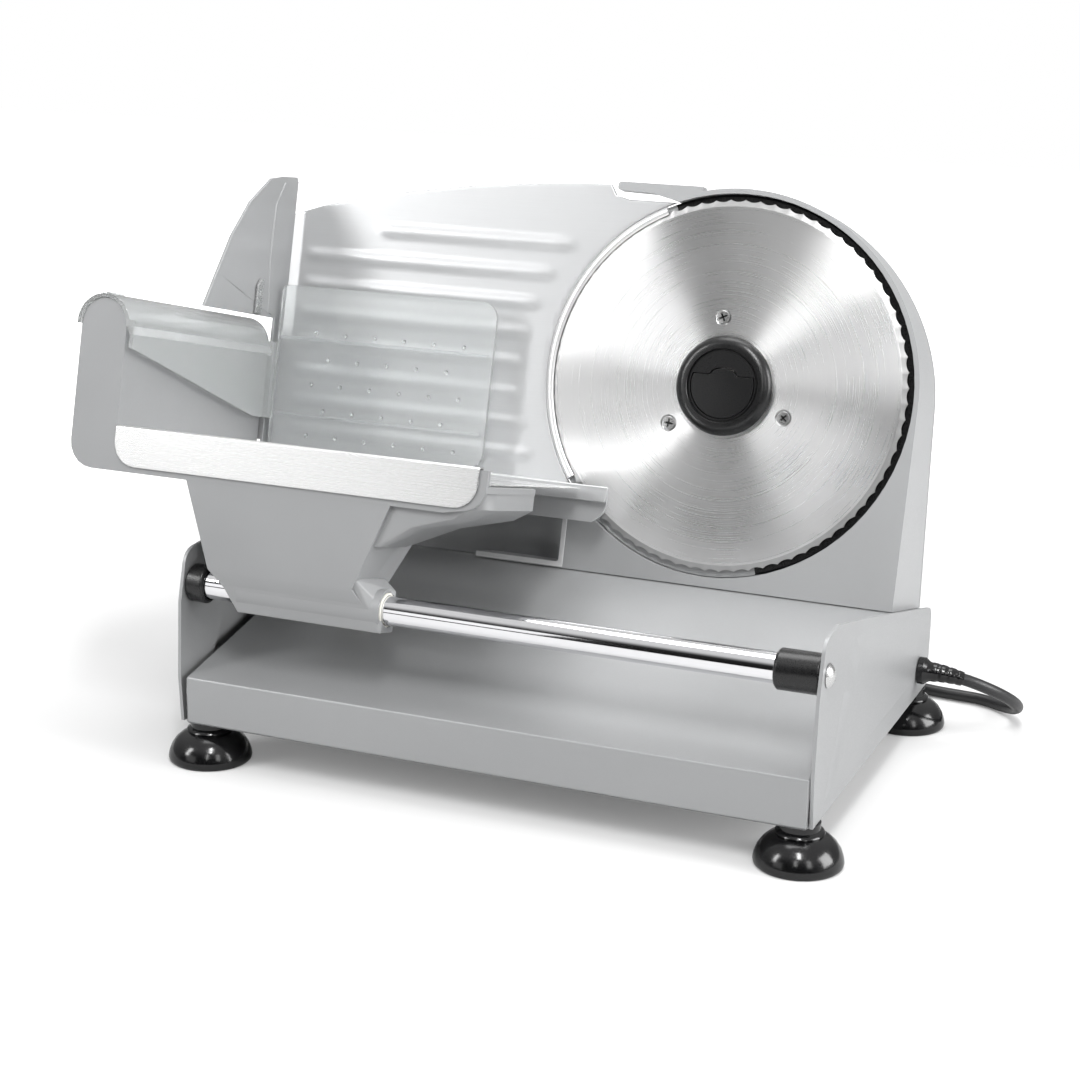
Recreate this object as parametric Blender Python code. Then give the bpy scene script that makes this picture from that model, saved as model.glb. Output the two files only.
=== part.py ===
# Electric meat slicer: pressed-steel base on suction feet, leaning drive housing with a round
# blade, guide plate set by a knob, and a food carriage with a pusher that slides on one rod.
# Sizes are in millimetres; add_piece turns them into metres. +X is to the user's right and
# +Y points away from the user. Sizes are measured from the table under the middle of the base,
# and place_origin then moves everything so that the origin is under the middle of the whole.
import bpy
import bmesh
from math import acos, atan2, cos, pi, radians, sin, sqrt
from mathutils import Vector

for old in list(bpy.data.objects):
    bpy.data.objects.remove(old, do_unlink=True)

MM = 0.001
GAP = 0.3                   # between pieces that touch or slide
RUN_GAP = 0.6               # around a turning shaft
BOLT_GAP = 0.4              # around a screw's shank
OVERCUT = 5.0               # how far a cutter runs past what it cuts

# Upper body: everything that leans back, in its own frame. There x is world X, t is depth away
# from the user across the blade's plane, and w is height along the blade's plane.
LEAN = radians(13.2)

# Base
BASE_HALF_WIDTH = 157.0
BASE_FRONT_Y = -112.0
BASE_REAR_Y = 109.0
BASE_BOTTOM_Z = 21.0
LIP_HEIGHT = 23.5
SHEET = 1.6
DECK_W = 84.9               # height of the deck under the housing, in the leaning frame
RIDGE_Y = 46.0              # where the front apron meets the deck

# Side plates
RIGHT_PLATE_X = 157.3       # inner face of the front ear
LEFT_PLATE_X = 160.0
EAR_TOP_Z = 107.8
RIGHT_BULGE = 1.6           # how far the pressed pan stands out from the plate
LEFT_BULGE = 4.0
PLATE_RIM = 5.0             # flat rim round the pan
PLATE_TOP_W = 86.6

# Slide rod and its sockets
ROD_Y = -98.0
ROD_Z = 88.8
ROD_RADIUS = 7.0
SOCKET_RADIUS = 9.4
SOCKET_RIGHT_LENGTH = 21.0
SOCKET_LEFT_LENGTH = 9.6
SOCKET_FLOOR = 4.0
ROD_SCREW_RADIUS = 2.2
ROD_SCREW_REACH = 10.0

# Suction feet
FOOT_X = 150.8
FOOT_Y = 100.6
FOOT_RADIUS = 20.4
FOOT_NECK_RADIUS = 8.6
FOOT_SCREW_RADIUS = 2.0

# Blade, with its centre in the leaning frame
BLADE_X = 53.0
BLADE_W = 188.3
BLADE_T = 27.2              # front face
BLADE_RADIUS = 95.0
BLADE_THICK = 1.6
BEVEL_WIDTH = 3.6
SCALLOPS = 76
SCALLOP_DEPTH = 1.3
BLADE_BORE = 9.0
BLADE_SCREW_CIRCLE = 35.2
BLADE_SCREW_RADIUS = 2.0
BLADE_SCREW_HEAD = 3.35
BLADE_SCREW_START = radians(98.0)

# Hub knob and its folding grip
KNOB_RADIUS = 25.5
KNOB_HEIGHT = 4.7
GRIP_RADIUS = 16.6
GRIP_THICK = 1.8
GRIP_LINE = 5.0             # the grip's hinge line, above the knob's centre

# Drive
SPINDLE_RADIUS = 8.0
CARRIER_RADIUS = 42.0
MODULE = 1.5
WHEEL_TEETH = 32
WORM_RADIUS = 8.0           # pitch radius
WHEEL_T = 58.0
WHEEL_THICK = 8.0
MOTOR_RADIUS = 21.4
MOTOR_LENGTH = 56.0

# Housing
HOUSING_FRONT_T = 26.5
HOUSING_RIGHT_X = 152.6
HOUSING_STEP_X = -26.5      # left edge of the lower front face
HOUSING_LEFT_X = -150.0
HOUSING_WALL = 3.0
HOUSING_REAR_Y = 106.5
RING_RADIUS = 100.5
RECESS_RADIUS = 98.0
RECESS_FLOOR_T = 33.0
DRUM_RADIUS = 97.3
WING_T = 50.0               # front of the low wing behind the guide plate
WING_TOP_W = 128.0
COVER_THICK = 2.5
HUMP_DEPTH = 18.0

# Guide plate
PLATE_T = 29.0              # front face at rest
PLATE_THICK = 2.0
PLATE_ARC = 98.6
PLATE_LEFT_X = -206.0
PLATE_FOOT_W = 128.4
LEDGE_FRONT_T = 3.4
LIP_BOTTOM_W = 121.6
LEDGE_LEFT_X = -200.4
LEDGE_RIGHT_X = 4.6
COVE_T = 8.0                # the skirt below the ledge's right end
COVE_LEFT_X = -56.0
COVE_BOTTOM_W = 111.6
RIB_HEIGHT = 1.2
RIB_RADIUS = 4.4
RIB_PITCH = 16.0
CAM_X = -105.0
CAM_W = 112.0
CAM_RADIUS = 4.3            # bore of the nut that the setting spindle turns in
NUT_RADIUS = 8.4
GUIDE_TRAVEL = 13.0         # how far the plate moves back from rest
SET_KNOB_RADIUS = 21.0
SET_KNOB_DEPTH = 16.0
SET_KNOB_STAND = 7.0        # from the sloping cover to the knob's near face

# Carriage
CARRIAGE_FRONT_T = -130.0
CARRIAGE_REAR_T = 0.0
CARRIAGE_RIGHT_X = -5.0
WALL_INNER_X = -203.2
WALL_WIDTH = 25.4
WALL_REAR_T = 10.0
CAP_W = 184.6               # centre height of the wall's round top
FLOOR_W = 127.6
FLOOR_THICK = 3.0
RIM_TOP_W = 135.2
RIM_BOTTOM_W = 113.8
CARRIAGE_WALL = 2.6
TRAY_SHEET = 0.9
ARM_LEFT_X = -131.0
ARM_RIGHT_X = -55.0
BOSS_RADIUS = 10.1
BUSH_WALL = 1.0
BUSH_LENGTH = 14.0

# Pusher
PUSHER_T = 13.0
PUSHER_THICK = 2.6
PUSHER_TOP_W = 219.4
PUSHER_FOOT_W = 131.2
PUSHER_RIGHT_X = -70.5
CAP_WALL = 1.8
SPIKE_PITCH_X = 17.6
SPIKE_PITCH_W = 13.9

# Cord
GLAND_Y = 80.0
GLAND_Z = 37.5
GLAND_RADIUS = 7.0
CORD_RADIUS = 3.1


# --- mesh helpers -------------------------------------------------------------------------

def make_material(name, color, roughness, metallic=0.0, alpha=1.0):
    material = bpy.data.materials.new(name)
    material.use_nodes = True
    shader = material.node_tree.nodes["Principled BSDF"]
    shader.inputs["Base Color"].default_value = (*color, 1.0)
    shader.inputs["Roughness"].default_value = roughness
    shader.inputs["Metallic"].default_value = metallic
    shader.inputs["Alpha"].default_value = alpha
    return material


def prism(outline, axis, low, high):
    """A solid with a flat outline, from low to high along axis 0, 1 or 2."""
    mesh = bmesh.new()
    rings = []
    for level in (low, high):
        ring = []
        for a, b in outline:
            spot = [a, b]
            spot.insert(axis, level)
            ring.append(mesh.verts.new(spot))
        rings.append(ring)
    count = len(outline)
    for i in range(count):
        j = (i + 1) % count
        mesh.faces.new((rings[0][i], rings[0][j], rings[1][j], rings[1][i]))
    mesh.faces.new(rings[0])
    mesh.faces.new(rings[1])
    bmesh.ops.recalc_face_normals(mesh, faces=mesh.faces)
    return mesh


def box(x, y, z):
    return prism([(x[0], y[0]), (x[1], y[0]), (x[1], y[1]), (x[0], y[1])], 2, z[0], z[1])


def lathe(profile, axis, segments=40, center=(0.0, 0.0, 0.0)):
    """A turned solid. The profile lists (radius, height) once round; a radius of 0 is a pole."""
    mesh = bmesh.new()
    across = [k for k in range(3) if k != axis]
    rings = []
    for radius, height in profile:
        ring = []
        steps = 1 if radius == 0 else segments
        for i in range(steps):
            spot = [0.0, 0.0, 0.0]
            spot[axis] = height + center[axis]
            spot[across[0]] = center[across[0]] + radius * cos(2 * pi * i / segments)
            spot[across[1]] = center[across[1]] + radius * sin(2 * pi * i / segments)
            ring.append(mesh.verts.new(spot))
        rings.append(ring)
    for first, second in zip(rings, rings[1:] + rings[:1]):
        if len(first) == 1 and len(second) == 1:
            continue
        for i in range(segments):
            j = (i + 1) % segments
            corners = [first[i % len(first)], first[j % len(first)],
                       second[j % len(second)], second[i % len(second)]]
            corners = list(dict.fromkeys(corners))
            mesh.faces.new(corners)
    bmesh.ops.recalc_face_normals(mesh, faces=mesh.faces)
    return mesh


def rod(radius, axis, low, high, center=(0.0, 0.0, 0.0), segments=32):
    spot = list(center)
    spot[axis] = 0.0
    return lathe([(0, low), (radius, low), (radius, high), (0, high)], axis, segments, spot)


def tube(outer, inner, axis, low, high, center=(0.0, 0.0, 0.0), segments=32):
    spot = list(center)
    spot[axis] = 0.0
    profile = [(inner, low), (outer, low), (outer, high), (inner, high)]
    return lathe(profile, axis, segments, spot)


def loft(rings):
    """A solid through matching rings of points, closed at both ends."""
    mesh = bmesh.new()
    loops = [[mesh.verts.new(spot) for spot in ring] for ring in rings]
    count = len(loops[0])
    for first, second in zip(loops, loops[1:]):
        for i in range(count):
            j = (i + 1) % count
            mesh.faces.new((first[i], first[j], second[j], second[i]))
    mesh.faces.new(loops[0])
    mesh.faces.new(loops[-1])
    bmesh.ops.recalc_face_normals(mesh, faces=mesh.faces)
    return mesh


def arc(center, radius, start, end, steps):
    """Points on an arc, from one angle to another, ends included."""
    spots = []
    for i in range(steps + 1):
        angle = start + (end - start) * i / steps
        spots.append((center[0] + radius * cos(angle), center[1] + radius * sin(angle)))
    return spots


def rounded(corners, steps=4):
    """An outline whose corners (x, y, radius) are rounded."""
    outline = []
    count = len(corners)
    for i in range(count):
        before, here, after = corners[i - 1], corners[i], corners[(i + 1) % count]
        spot = Vector(here[:2])
        radius = here[2]
        if radius == 0:
            outline.append(tuple(spot))
            continue
        to_before = (Vector(before[:2]) - spot).normalized()
        to_after = (Vector(after[:2]) - spot).normalized()
        half = acos(max(-1.0, min(1.0, to_before.dot(to_after)))) / 2
        start = spot + to_before * (radius / (sin(half) / cos(half)))
        middle = spot + (to_before + to_after).normalized() * (radius / sin(half))
        first = start - middle
        last = spot + to_after * (radius / (sin(half) / cos(half))) - middle
        turn = atan2(first.x * last.y - first.y * last.x, first.dot(last))
        base = atan2(first.y, first.x)
        for k in range(steps + 1):
            angle = base + turn * k / steps
            outline.append((middle.x + radius * cos(angle), middle.y + radius * sin(angle)))
    return outline


def sheet_strip(line, thick):
    """The outline of a bent sheet: a line of points, and the same line one thickness lower."""
    points = [Vector(spot) for spot in line]
    inner = []
    for i, spot in enumerate(points):
        normals = []
        if i > 0:
            step = (spot - points[i - 1]).normalized()
            normals.append(Vector((step.y, -step.x)))
        if i < len(points) - 1:
            step = (points[i + 1] - spot).normalized()
            normals.append(Vector((step.y, -step.x)))
        middle = sum(normals, Vector((0.0, 0.0))).normalized()
        reach = thick / max(middle.dot(normals[0]), 0.2)
        inner.append(spot + middle * reach)
    return [tuple(spot) for spot in points] + [tuple(spot) for spot in reversed(inner)]


# --- placing helpers ----------------------------------------------------------------------

def make_frame(name, parent, lean):
    frame = bpy.data.objects.new(name, None)
    bpy.context.collection.objects.link(frame)
    frame.parent = parent
    frame.rotation_euler = (-lean, 0.0, 0.0)
    return frame


UPRIGHT = make_frame("slicer_frame", None, 0.0)
LEANING = make_frame("leaning_frame", UPRIGHT, LEAN)


def to_world(x, t, w):
    return Vector((x, t * cos(LEAN) + w * sin(LEAN), -t * sin(LEAN) + w * cos(LEAN)))


def add_piece(name, mesh, material, parent=UPRIGHT, origin=(0.0, 0.0, 0.0), smooth=True):
    """Makes one object from a mesh in millimetres, with its origin where it turns or sits."""
    bmesh.ops.translate(mesh, verts=mesh.verts, vec=-Vector(origin))
    bmesh.ops.scale(mesh, verts=mesh.verts, vec=(MM, MM, MM))
    data = bpy.data.meshes.new(name)
    mesh.to_mesh(data)
    mesh.free()
    if smooth:
        data.shade_smooth()
        data.set_sharp_from_angle(angle=radians(35))
    if material:
        data.materials.append(material)
    piece = bpy.data.objects.new(name, data)
    piece.location = Vector(origin) * MM
    piece.parent = parent
    bpy.context.collection.objects.link(piece)
    return piece


def combine(piece, mesh, operation, frame=None):
    """Adds or cuts a second shape, given in millimetres in the piece's frame or another."""
    tool = add_piece(piece.name + "_" + operation.lower(), mesh, None, frame or piece.parent,
                     smooth=False)
    tool.hide_render = True
    tool.display_type = "WIRE"
    step = piece.modifiers.new(operation.title(), "BOOLEAN")
    step.operation = operation
    step.object = tool
    return tool


def join(piece, mesh, frame=None):
    return combine(piece, mesh, "UNION", frame)


def cut(piece, mesh, frame=None):
    return combine(piece, mesh, "DIFFERENCE", frame)


# --- materials ----------------------------------------------------------------------------

PAINTED_STEEL = make_material("painted steel", (0.50, 0.51, 0.52), 0.42, 0.25)
PAINTED_HOUSING = make_material("painted cast aluminium", (0.47, 0.48, 0.49), 0.45, 0.25)
SATIN_PLATE = make_material("satin aluminium", (0.55, 0.56, 0.57), 0.40, 0.5)
BRUSHED_STEEL = make_material("brushed stainless steel", (0.78, 0.78, 0.78), 0.28, 1.0)
POLISHED_STEEL = make_material("ground blade steel", (0.72, 0.72, 0.72), 0.22, 1.0)
CHROME = make_material("chromed rod", (0.85, 0.85, 0.86), 0.08, 1.0)
ZINC = make_material("zinc-plated screw", (0.66, 0.66, 0.66), 0.35, 1.0)
BLACK_PLASTIC = make_material("black plastic", (0.012, 0.012, 0.013), 0.38)
BLACK_RUBBER = make_material("black rubber", (0.012, 0.012, 0.012), 0.30)
GREY_PLASTIC = make_material("silver plastic", (0.48, 0.49, 0.50), 0.42, 0.1)
CLEAR_PLASTIC = make_material("clear plastic", (0.80, 0.82, 0.83), 0.10, 0.0, 0.35)
WHITE_NYLON = make_material("white nylon", (0.75, 0.74, 0.70), 0.5)
BRASS = make_material("brass worm", (0.70, 0.52, 0.22), 0.35, 1.0)
CORD_PVC = make_material("cord jacket", (0.015, 0.015, 0.016), 0.45)


# --- base ---------------------------------------------------------------------------------

def apron_z(y):
    """Height of the apron's top face, which rises from the lip to the ridge."""
    front = BASE_BOTTOM_Z + LIP_HEIGHT
    ridge = deck_z(RIDGE_Y)
    return front + (ridge - front) * (y - BASE_FRONT_Y) / (RIDGE_Y - BASE_FRONT_Y)


def deck_z(y):
    """World height of the deck's leaning plane at a world depth."""
    return (DECK_W - y * sin(LEAN)) / cos(LEAN)


def build_base_shell():
    line = [(BASE_FRONT_Y, BASE_BOTTOM_Z), (BASE_FRONT_Y, BASE_BOTTOM_Z + LIP_HEIGHT),
            (RIDGE_Y, deck_z(RIDGE_Y)), (BASE_REAR_Y, deck_z(BASE_REAR_Y)),
            (BASE_REAR_Y, BASE_BOTTOM_Z)]
    shell = add_piece("base_shell", prism(sheet_strip(line, SHEET), 0, -BASE_HALF_WIDTH,
                                          BASE_HALF_WIDTH), PAINTED_STEEL)
    return shell


def build_base_bottom():
    inset = SHEET + GAP
    floor = box((-BASE_HALF_WIDTH, BASE_HALF_WIDTH),
                (BASE_FRONT_Y + inset, BASE_REAR_Y - inset),
                (BASE_BOTTOM_Z, BASE_BOTTOM_Z + SHEET))
    bottom = add_piece("base_bottom", floor, PAINTED_STEEL)
    for x, y, _ in foot_places():
        cut(bottom, rod(FOOT_SCREW_RADIUS + BOLT_GAP, 2, BASE_BOTTOM_Z - OVERCUT,
                        BASE_BOTTOM_Z + SHEET + OVERCUT, (x, y, 0), 16))
    slot_pitch = 12.0
    for i in range(6):
        x = (i - 2.5) * slot_pitch
        cut(bottom, box((x - 2, x + 2), (20, 60),
                        (BASE_BOTTOM_Z - OVERCUT, BASE_BOTTOM_Z + SHEET + OVERCUT)))
    return bottom


def plate_top_z(y):
    return (PLATE_TOP_W - y * sin(LEAN)) / cos(LEAN)


def side_plate_outline():
    """The plate's edge in (y, z): a round-topped ear in front and a top edge that falls back."""
    rear = BASE_REAR_Y + 1.0
    front = BASE_FRONT_Y + GAP
    return rounded([(front + 2.2, BASE_BOTTOM_Z, 0), (front, BASE_BOTTOM_Z + LIP_HEIGHT, 0),
                    (-110.0, 82.0, 12.0), (-104.0, EAR_TOP_Z - 1.5, 9.0),
                    (-84.0, EAR_TOP_Z, 6.0), (-20.0, plate_top_z(-20.0), 0),
                    (rear, plate_top_z(rear) - 0.5, 8.0), (rear, BASE_BOTTOM_Z, 2.0)])


def build_side_plate(name, inner_x, side, bulge, slope):
    """A pressed pan: the front ear lies flat, the rest of the face stands out a little."""
    outer_x = inner_x + SHEET
    flat = prism(side_plate_outline(), 0, side * inner_x, side * outer_x)
    plate = add_piece(name, flat, PAINTED_STEEL)
    rear = BASE_REAR_Y - PLATE_RIM
    low = BASE_BOTTOM_Z + PLATE_RIM
    crease = [(-94.0, low), (-67.6, 71.2), (-61.4, 85.5), (-52.0, 93.0),
              (-20.0, plate_top_z(-20.0) - PLATE_RIM), (rear, plate_top_z(rear) - PLATE_RIM),
              (rear, low)]
    shrink = [(1.6, 1.0), (1.1, -0.3), (1.0, -0.6), (0.6, -1.0), (0.1, -1.0), (-1.0, -1.0),
              (-1.0, 1.0)]
    raised = [(y + a * slope, z + b * slope) for (y, z), (a, b) in zip(crease, shrink)]

    def pan(shift, reach):
        near = side * (inner_x + shift)
        far = side * (inner_x + shift + reach)
        return loft([[(near, y, z) for y, z in crease], [(far, y, z) for y, z in raised]])

    join(plate, pan(SHEET - 0.05, bulge))
    cut(plate, pan(-0.5, bulge + 0.5))
    cut(plate, rod(ROD_SCREW_RADIUS + BOLT_GAP, 0, *sorted((side * (inner_x - OVERCUT),
                                                            side * (outer_x + OVERCUT))),
                   (0, ROD_Y, ROD_Z), 16))
    if side > 0:
        cut(plate, rod(GLAND_RADIUS - 1.5, 0, inner_x - OVERCUT, outer_x + 2 * OVERCUT,
                       (0, GLAND_Y, GLAND_Z), 24))
    return plate


# --- rod ----------------------------------------------------------------------------------

def build_slide_rod():
    left = -(LEFT_PLATE_X - GAP - SOCKET_FLOOR - GAP)
    right = RIGHT_PLATE_X - GAP - SOCKET_FLOOR - GAP
    piece = add_piece("slide_rod", rod(ROD_RADIUS, 0, left, right, (0, ROD_Y, ROD_Z), 40), CHROME)
    hole = ROD_SCREW_RADIUS + GAP
    cut(piece, rod(hole, 0, left - OVERCUT, left + ROD_SCREW_REACH + 1, (0, ROD_Y, ROD_Z), 16))
    cut(piece, rod(hole, 0, right - ROD_SCREW_REACH - 1, right + OVERCUT, (0, ROD_Y, ROD_Z), 16))
    return piece


def build_rod_end(name, side, inner_x, length):
    """The black socket that the rod's end sits in, and the screw that holds both to the ear."""
    seat = inner_x - GAP
    profile = [(ROD_SCREW_RADIUS + BOLT_GAP, seat), (SOCKET_RADIUS - 0.6, seat),
               (SOCKET_RADIUS, seat - 0.6), (SOCKET_RADIUS, seat - length + 1.2),
               (SOCKET_RADIUS - 1.2, seat - length), (ROD_RADIUS + GAP, seat - length),
               (ROD_RADIUS + GAP, seat - SOCKET_FLOOR),
               (ROD_SCREW_RADIUS + BOLT_GAP, seat - SOCKET_FLOOR)]
    profile = [(radius, side * height) for radius, height in profile]
    add_piece("rod_socket_" + name, lathe(profile, 0, 28, (0, ROD_Y, ROD_Z)), BLACK_PLASTIC)
    face = inner_x + SHEET + GAP
    reach = seat - SOCKET_FLOOR - GAP - ROD_SCREW_REACH
    head = [(0, face + 3.0), (2.6, face + 2.6), (4.6, face + 1.4), (5.6, face),
            (ROD_SCREW_RADIUS, face), (ROD_SCREW_RADIUS, reach), (0, reach)]
    head = [(radius, side * height) for radius, height in head]
    add_piece("rod_screw_" + name, lathe(head, 0, 24, (0, ROD_Y, ROD_Z)), ZINC)


# --- feet ---------------------------------------------------------------------------------

def foot_places():
    return [(-FOOT_X, -FOOT_Y, "front_left"), (FOOT_X, -FOOT_Y, "front_right"),
            (-FOOT_X, FOOT_Y, "rear_left"), (FOOT_X, FOOT_Y, "rear_right")]


def build_foot(x, y, where):
    """A rubber suction cup on a neck, and the screw that holds it from inside the base."""
    top = BASE_BOTTOM_Z - GAP
    cup = [(0, 5.6), (7.0, 4.6), (13.0, 2.4), (FOOT_RADIUS - 2.4, 0.0),
           (FOOT_RADIUS - 0.6, 0.0), (FOOT_RADIUS, 0.5),
           (FOOT_RADIUS - 0.8, 2.2), (15.5, 6.4), (11.5, 10.2), (FOOT_NECK_RADIUS + 0.6, 12.6),
           (FOOT_NECK_RADIUS, 14.0), (FOOT_NECK_RADIUS, 16.4), (FOOT_NECK_RADIUS + 1.6, 17.0),
           (FOOT_NECK_RADIUS + 1.6, top), (FOOT_SCREW_RADIUS + GAP, top),
           (FOOT_SCREW_RADIUS + GAP, 10.0), (0, 10.0)]
    add_piece("foot_" + where, lathe(cup, 2, 24, (x, y, 0)), BLACK_RUBBER, origin=(x, y, 0))
    seat = BASE_BOTTOM_Z + SHEET + GAP
    head = [(0, 10.6), (FOOT_SCREW_RADIUS, 10.6), (FOOT_SCREW_RADIUS, seat), (4.0, seat),
            (4.0, seat + 1.2), (2.4, seat + 2.4), (0, seat + 2.4)]
    add_piece("foot_screw_" + where, lathe(head, 2, 16, (x, y, 0)), ZINC, origin=(x, y, 0))


# --- housing ------------------------------------------------------------------------------

def circle(center, radius, steps=72):
    return arc(center, radius, 0.0, 2 * pi * (steps - 1) / steps, steps - 1)


HUB = (BLADE_X, BLADE_W)
HOUSING_BOTTOM_W = DECK_W + GAP
REAR_PAST = 140.0           # deeper than any leaning shape is kept


def housing_blocks(wall, front):
    """The solid shapes that make the housing, each drawn smaller by a wall."""
    low = HOUSING_BOTTOM_W + wall
    right = HOUSING_RIGHT_X - wall
    step = HOUSING_STEP_X + wall
    drum = prism(circle(HUB, DRUM_RADIUS - wall), 1, front + 6.5, REAR_PAST)
    ring_low = radians(-90.0)
    guard = arc(HUB, RING_RADIUS - wall, radians(110.0), radians(2.0), 30)
    guard += [(right, low), (step, low), (step, 116.0 - wall), (BLADE_X - 55.0, 116.0 - wall)]
    body = prism(guard, 1, front, REAR_PAST)
    wing_right = HOUSING_STEP_X + 30.0
    wing = box((HOUSING_LEFT_X + wall, wing_right), (WING_T + wall, REAR_PAST),
               (low, WING_TOP_W - wall))
    return drum, body, wing


def build_housing():
    drum, body, wing = housing_blocks(0.0, HOUSING_FRONT_T)
    housing = add_piece("motor_housing", body, PAINTED_HOUSING, LEANING)
    join(housing, drum)
    join(housing, wing)
    join(housing, rounded_finger())
    join(housing, box((-74.0, HOUSING_STEP_X + 5.0), (HOUSING_FRONT_T, WING_T + 5.0),
                      (HOUSING_BOTTOM_W, HOUSING_BOTTOM_W + HOUSING_WALL)))
    cut(housing, prism(circle(HUB, RECESS_RADIUS), 1, HOUSING_FRONT_T - OVERCUT, RECESS_FLOOR_T))
    drum, body, wing = housing_blocks(HOUSING_WALL, RECESS_FLOOR_T + HOUSING_WALL)
    drum_floor = RECESS_FLOOR_T + HOUSING_WALL
    cut(housing, prism(circle(HUB, DRUM_RADIUS - HOUSING_WALL), 1, drum_floor, REAR_PAST + 1))
    cut(housing, body)
    cut(housing, wing)
    drum.free()
    cut(housing, rod(SPINDLE_RADIUS + 4.0 + GAP, 1, RECESS_FLOOR_T - OVERCUT,
                     drum_floor + OVERCUT, (BLADE_X, 0, BLADE_W)))
    for x in guide_pin_places():
        cut(housing, rod(GUIDE_PIN_RADIUS + GAP, 1, WING_T - OVERCUT, WING_T + 3 * OVERCUT,
                         (x, 0, GUIDE_PIN_W), 24))
    cut(housing, rod(NUT_RADIUS + RUN_GAP, 1, WING_T - OVERCUT, WING_T + 3 * OVERCUT,
                     (CAM_X, 0, CAM_W), 24))
    cut(housing, box((-250, 250), (HOUSING_REAR_Y, 400), (-100, 400)), UPRIGHT)
    return housing


def rounded_finger():
    """The short finger that reaches over the guide plate's upper corner."""
    outline = rounded([(-16.0, 284.0, 1.6), (-16.0, 288.4, 1.6), (30.0, 288.4, 0),
                       (30.0, 276.0, 0), (12.0, 281.6, 0), (4.0, 283.4, 0)])
    return prism(outline, 1, HOUSING_FRONT_T, HOUSING_FRONT_T + 7.0)


def build_cover():
    """The back plate, cut to the housing's outline, with a hump over the motor."""
    low_y = HOUSING_REAR_Y + GAP
    slab = box((-250, 250), (low_y, low_y + COVER_THICK), (-50, 400))
    cover = add_piece("housing_cover", slab, GREY_PLASTIC)
    drum, body, wing = housing_blocks(0.0, HOUSING_FRONT_T)
    outline = add_piece("cover_outline", body, None, LEANING, smooth=False)
    outline.hide_render = True
    outline.display_type = "WIRE"
    join(outline, drum)
    join(outline, wing)
    trim = cover.modifiers.new("Outline", "BOOLEAN")
    trim.operation = "INTERSECT"
    trim.object = outline
    back = low_y + HUMP_DEPTH
    hump = rounded([(14.0, 100.0, 12.0), (144.0, 100.0, 12.0), (144.0, 190.0, 12.0),
                    (110.0, 222.0, 12.0), (14.0, 222.0, 12.0)])
    join(cover, prism(hump, 1, low_y + 0.5, back))
    hollow = rounded([(14.0 + COVER_THICK, 100.0 + COVER_THICK, 9.5),
                      (144.0 - COVER_THICK, 100.0 + COVER_THICK, 9.5),
                      (144.0 - COVER_THICK, 189.0, 9.5), (109.0, 222.0 - COVER_THICK, 9.5),
                      (14.0 + COVER_THICK, 222.0 - COVER_THICK, 9.5)])
    cut(cover, prism(hollow, 1, low_y - OVERCUT, back - COVER_THICK))
    for i in range(7):
        z = 118.0 + 7.0 * i
        cut(cover, box((50.0, 100.0), (back - 2 * COVER_THICK, back + OVERCUT), (z, z + 3.0)))
    cut(cover, rod(CAM_RADIUS + RUN_GAP, 1, 60.0, REAR_PAST, (CAM_X, 0, CAM_W), 24), LEANING)
    cut(cover, box((SWITCH_X - SWITCH_HALF[0], SWITCH_X + SWITCH_HALF[0]),
                   (low_y - OVERCUT, low_y + 2 * OVERCUT),
                   (SWITCH_Z - SWITCH_HALF[1], SWITCH_Z + SWITCH_HALF[1])))
    return cover


# --- drive --------------------------------------------------------------------------------

BLADE_BACK_T = BLADE_T + BLADE_THICK
CARRIER_FRONT_T = BLADE_BACK_T + GAP
CARRIER_THICK = RECESS_FLOOR_T - CARRIER_FRONT_T - GAP
WHEEL_RADIUS = MODULE * WHEEL_TEETH / 2
WORM_W = BLADE_W - WHEEL_RADIUS - WORM_RADIUS
TOOTH_HEIGHT = 0.9 * MODULE
SPINDLE_END_T = WHEEL_T + WHEEL_THICK / 2 + 2.0


def blade_mesh():
    """Ground blade: flat body, bevel on the front, and a scalloped edge."""
    per_scallop = 2
    count = SCALLOPS * per_scallop
    edge = []
    for i in range(count):
        phase = (i % per_scallop) / per_scallop
        edge.append(BLADE_RADIUS - SCALLOP_DEPTH * sin(pi * phase))
    mesh = bmesh.new()
    rings = []
    bevel_radius = BLADE_RADIUS - BEVEL_WIDTH
    levels = [(BLADE_BORE, BLADE_T, False), (bevel_radius, BLADE_T, False),
              (0.0, BLADE_BACK_T - 0.45, True), (0.0, BLADE_BACK_T - 0.05, True),
              (bevel_radius, BLADE_BACK_T, False), (BLADE_BORE, BLADE_BACK_T, False)]
    for radius, t, scalloped in levels:
        ring = []
        for i in range(count):
            angle = 2 * pi * i / count
            reach = edge[i] if scalloped else radius
            ring.append(mesh.verts.new((BLADE_X + reach * cos(angle), t,
                                        BLADE_W + reach * sin(angle))))
        rings.append(ring)
    for first, second in zip(rings, rings[1:] + rings[:1]):
        for i in range(count):
            j = (i + 1) % count
            mesh.faces.new((first[i], first[j], second[j], second[i]))
    bmesh.ops.recalc_face_normals(mesh, faces=mesh.faces)
    return mesh


def screw_places():
    for i in range(3):
        angle = BLADE_SCREW_START + 2 * pi * i / 3
        yield (i + 1, BLADE_X + BLADE_SCREW_CIRCLE * cos(angle),
               BLADE_W + BLADE_SCREW_CIRCLE * sin(angle))


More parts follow.
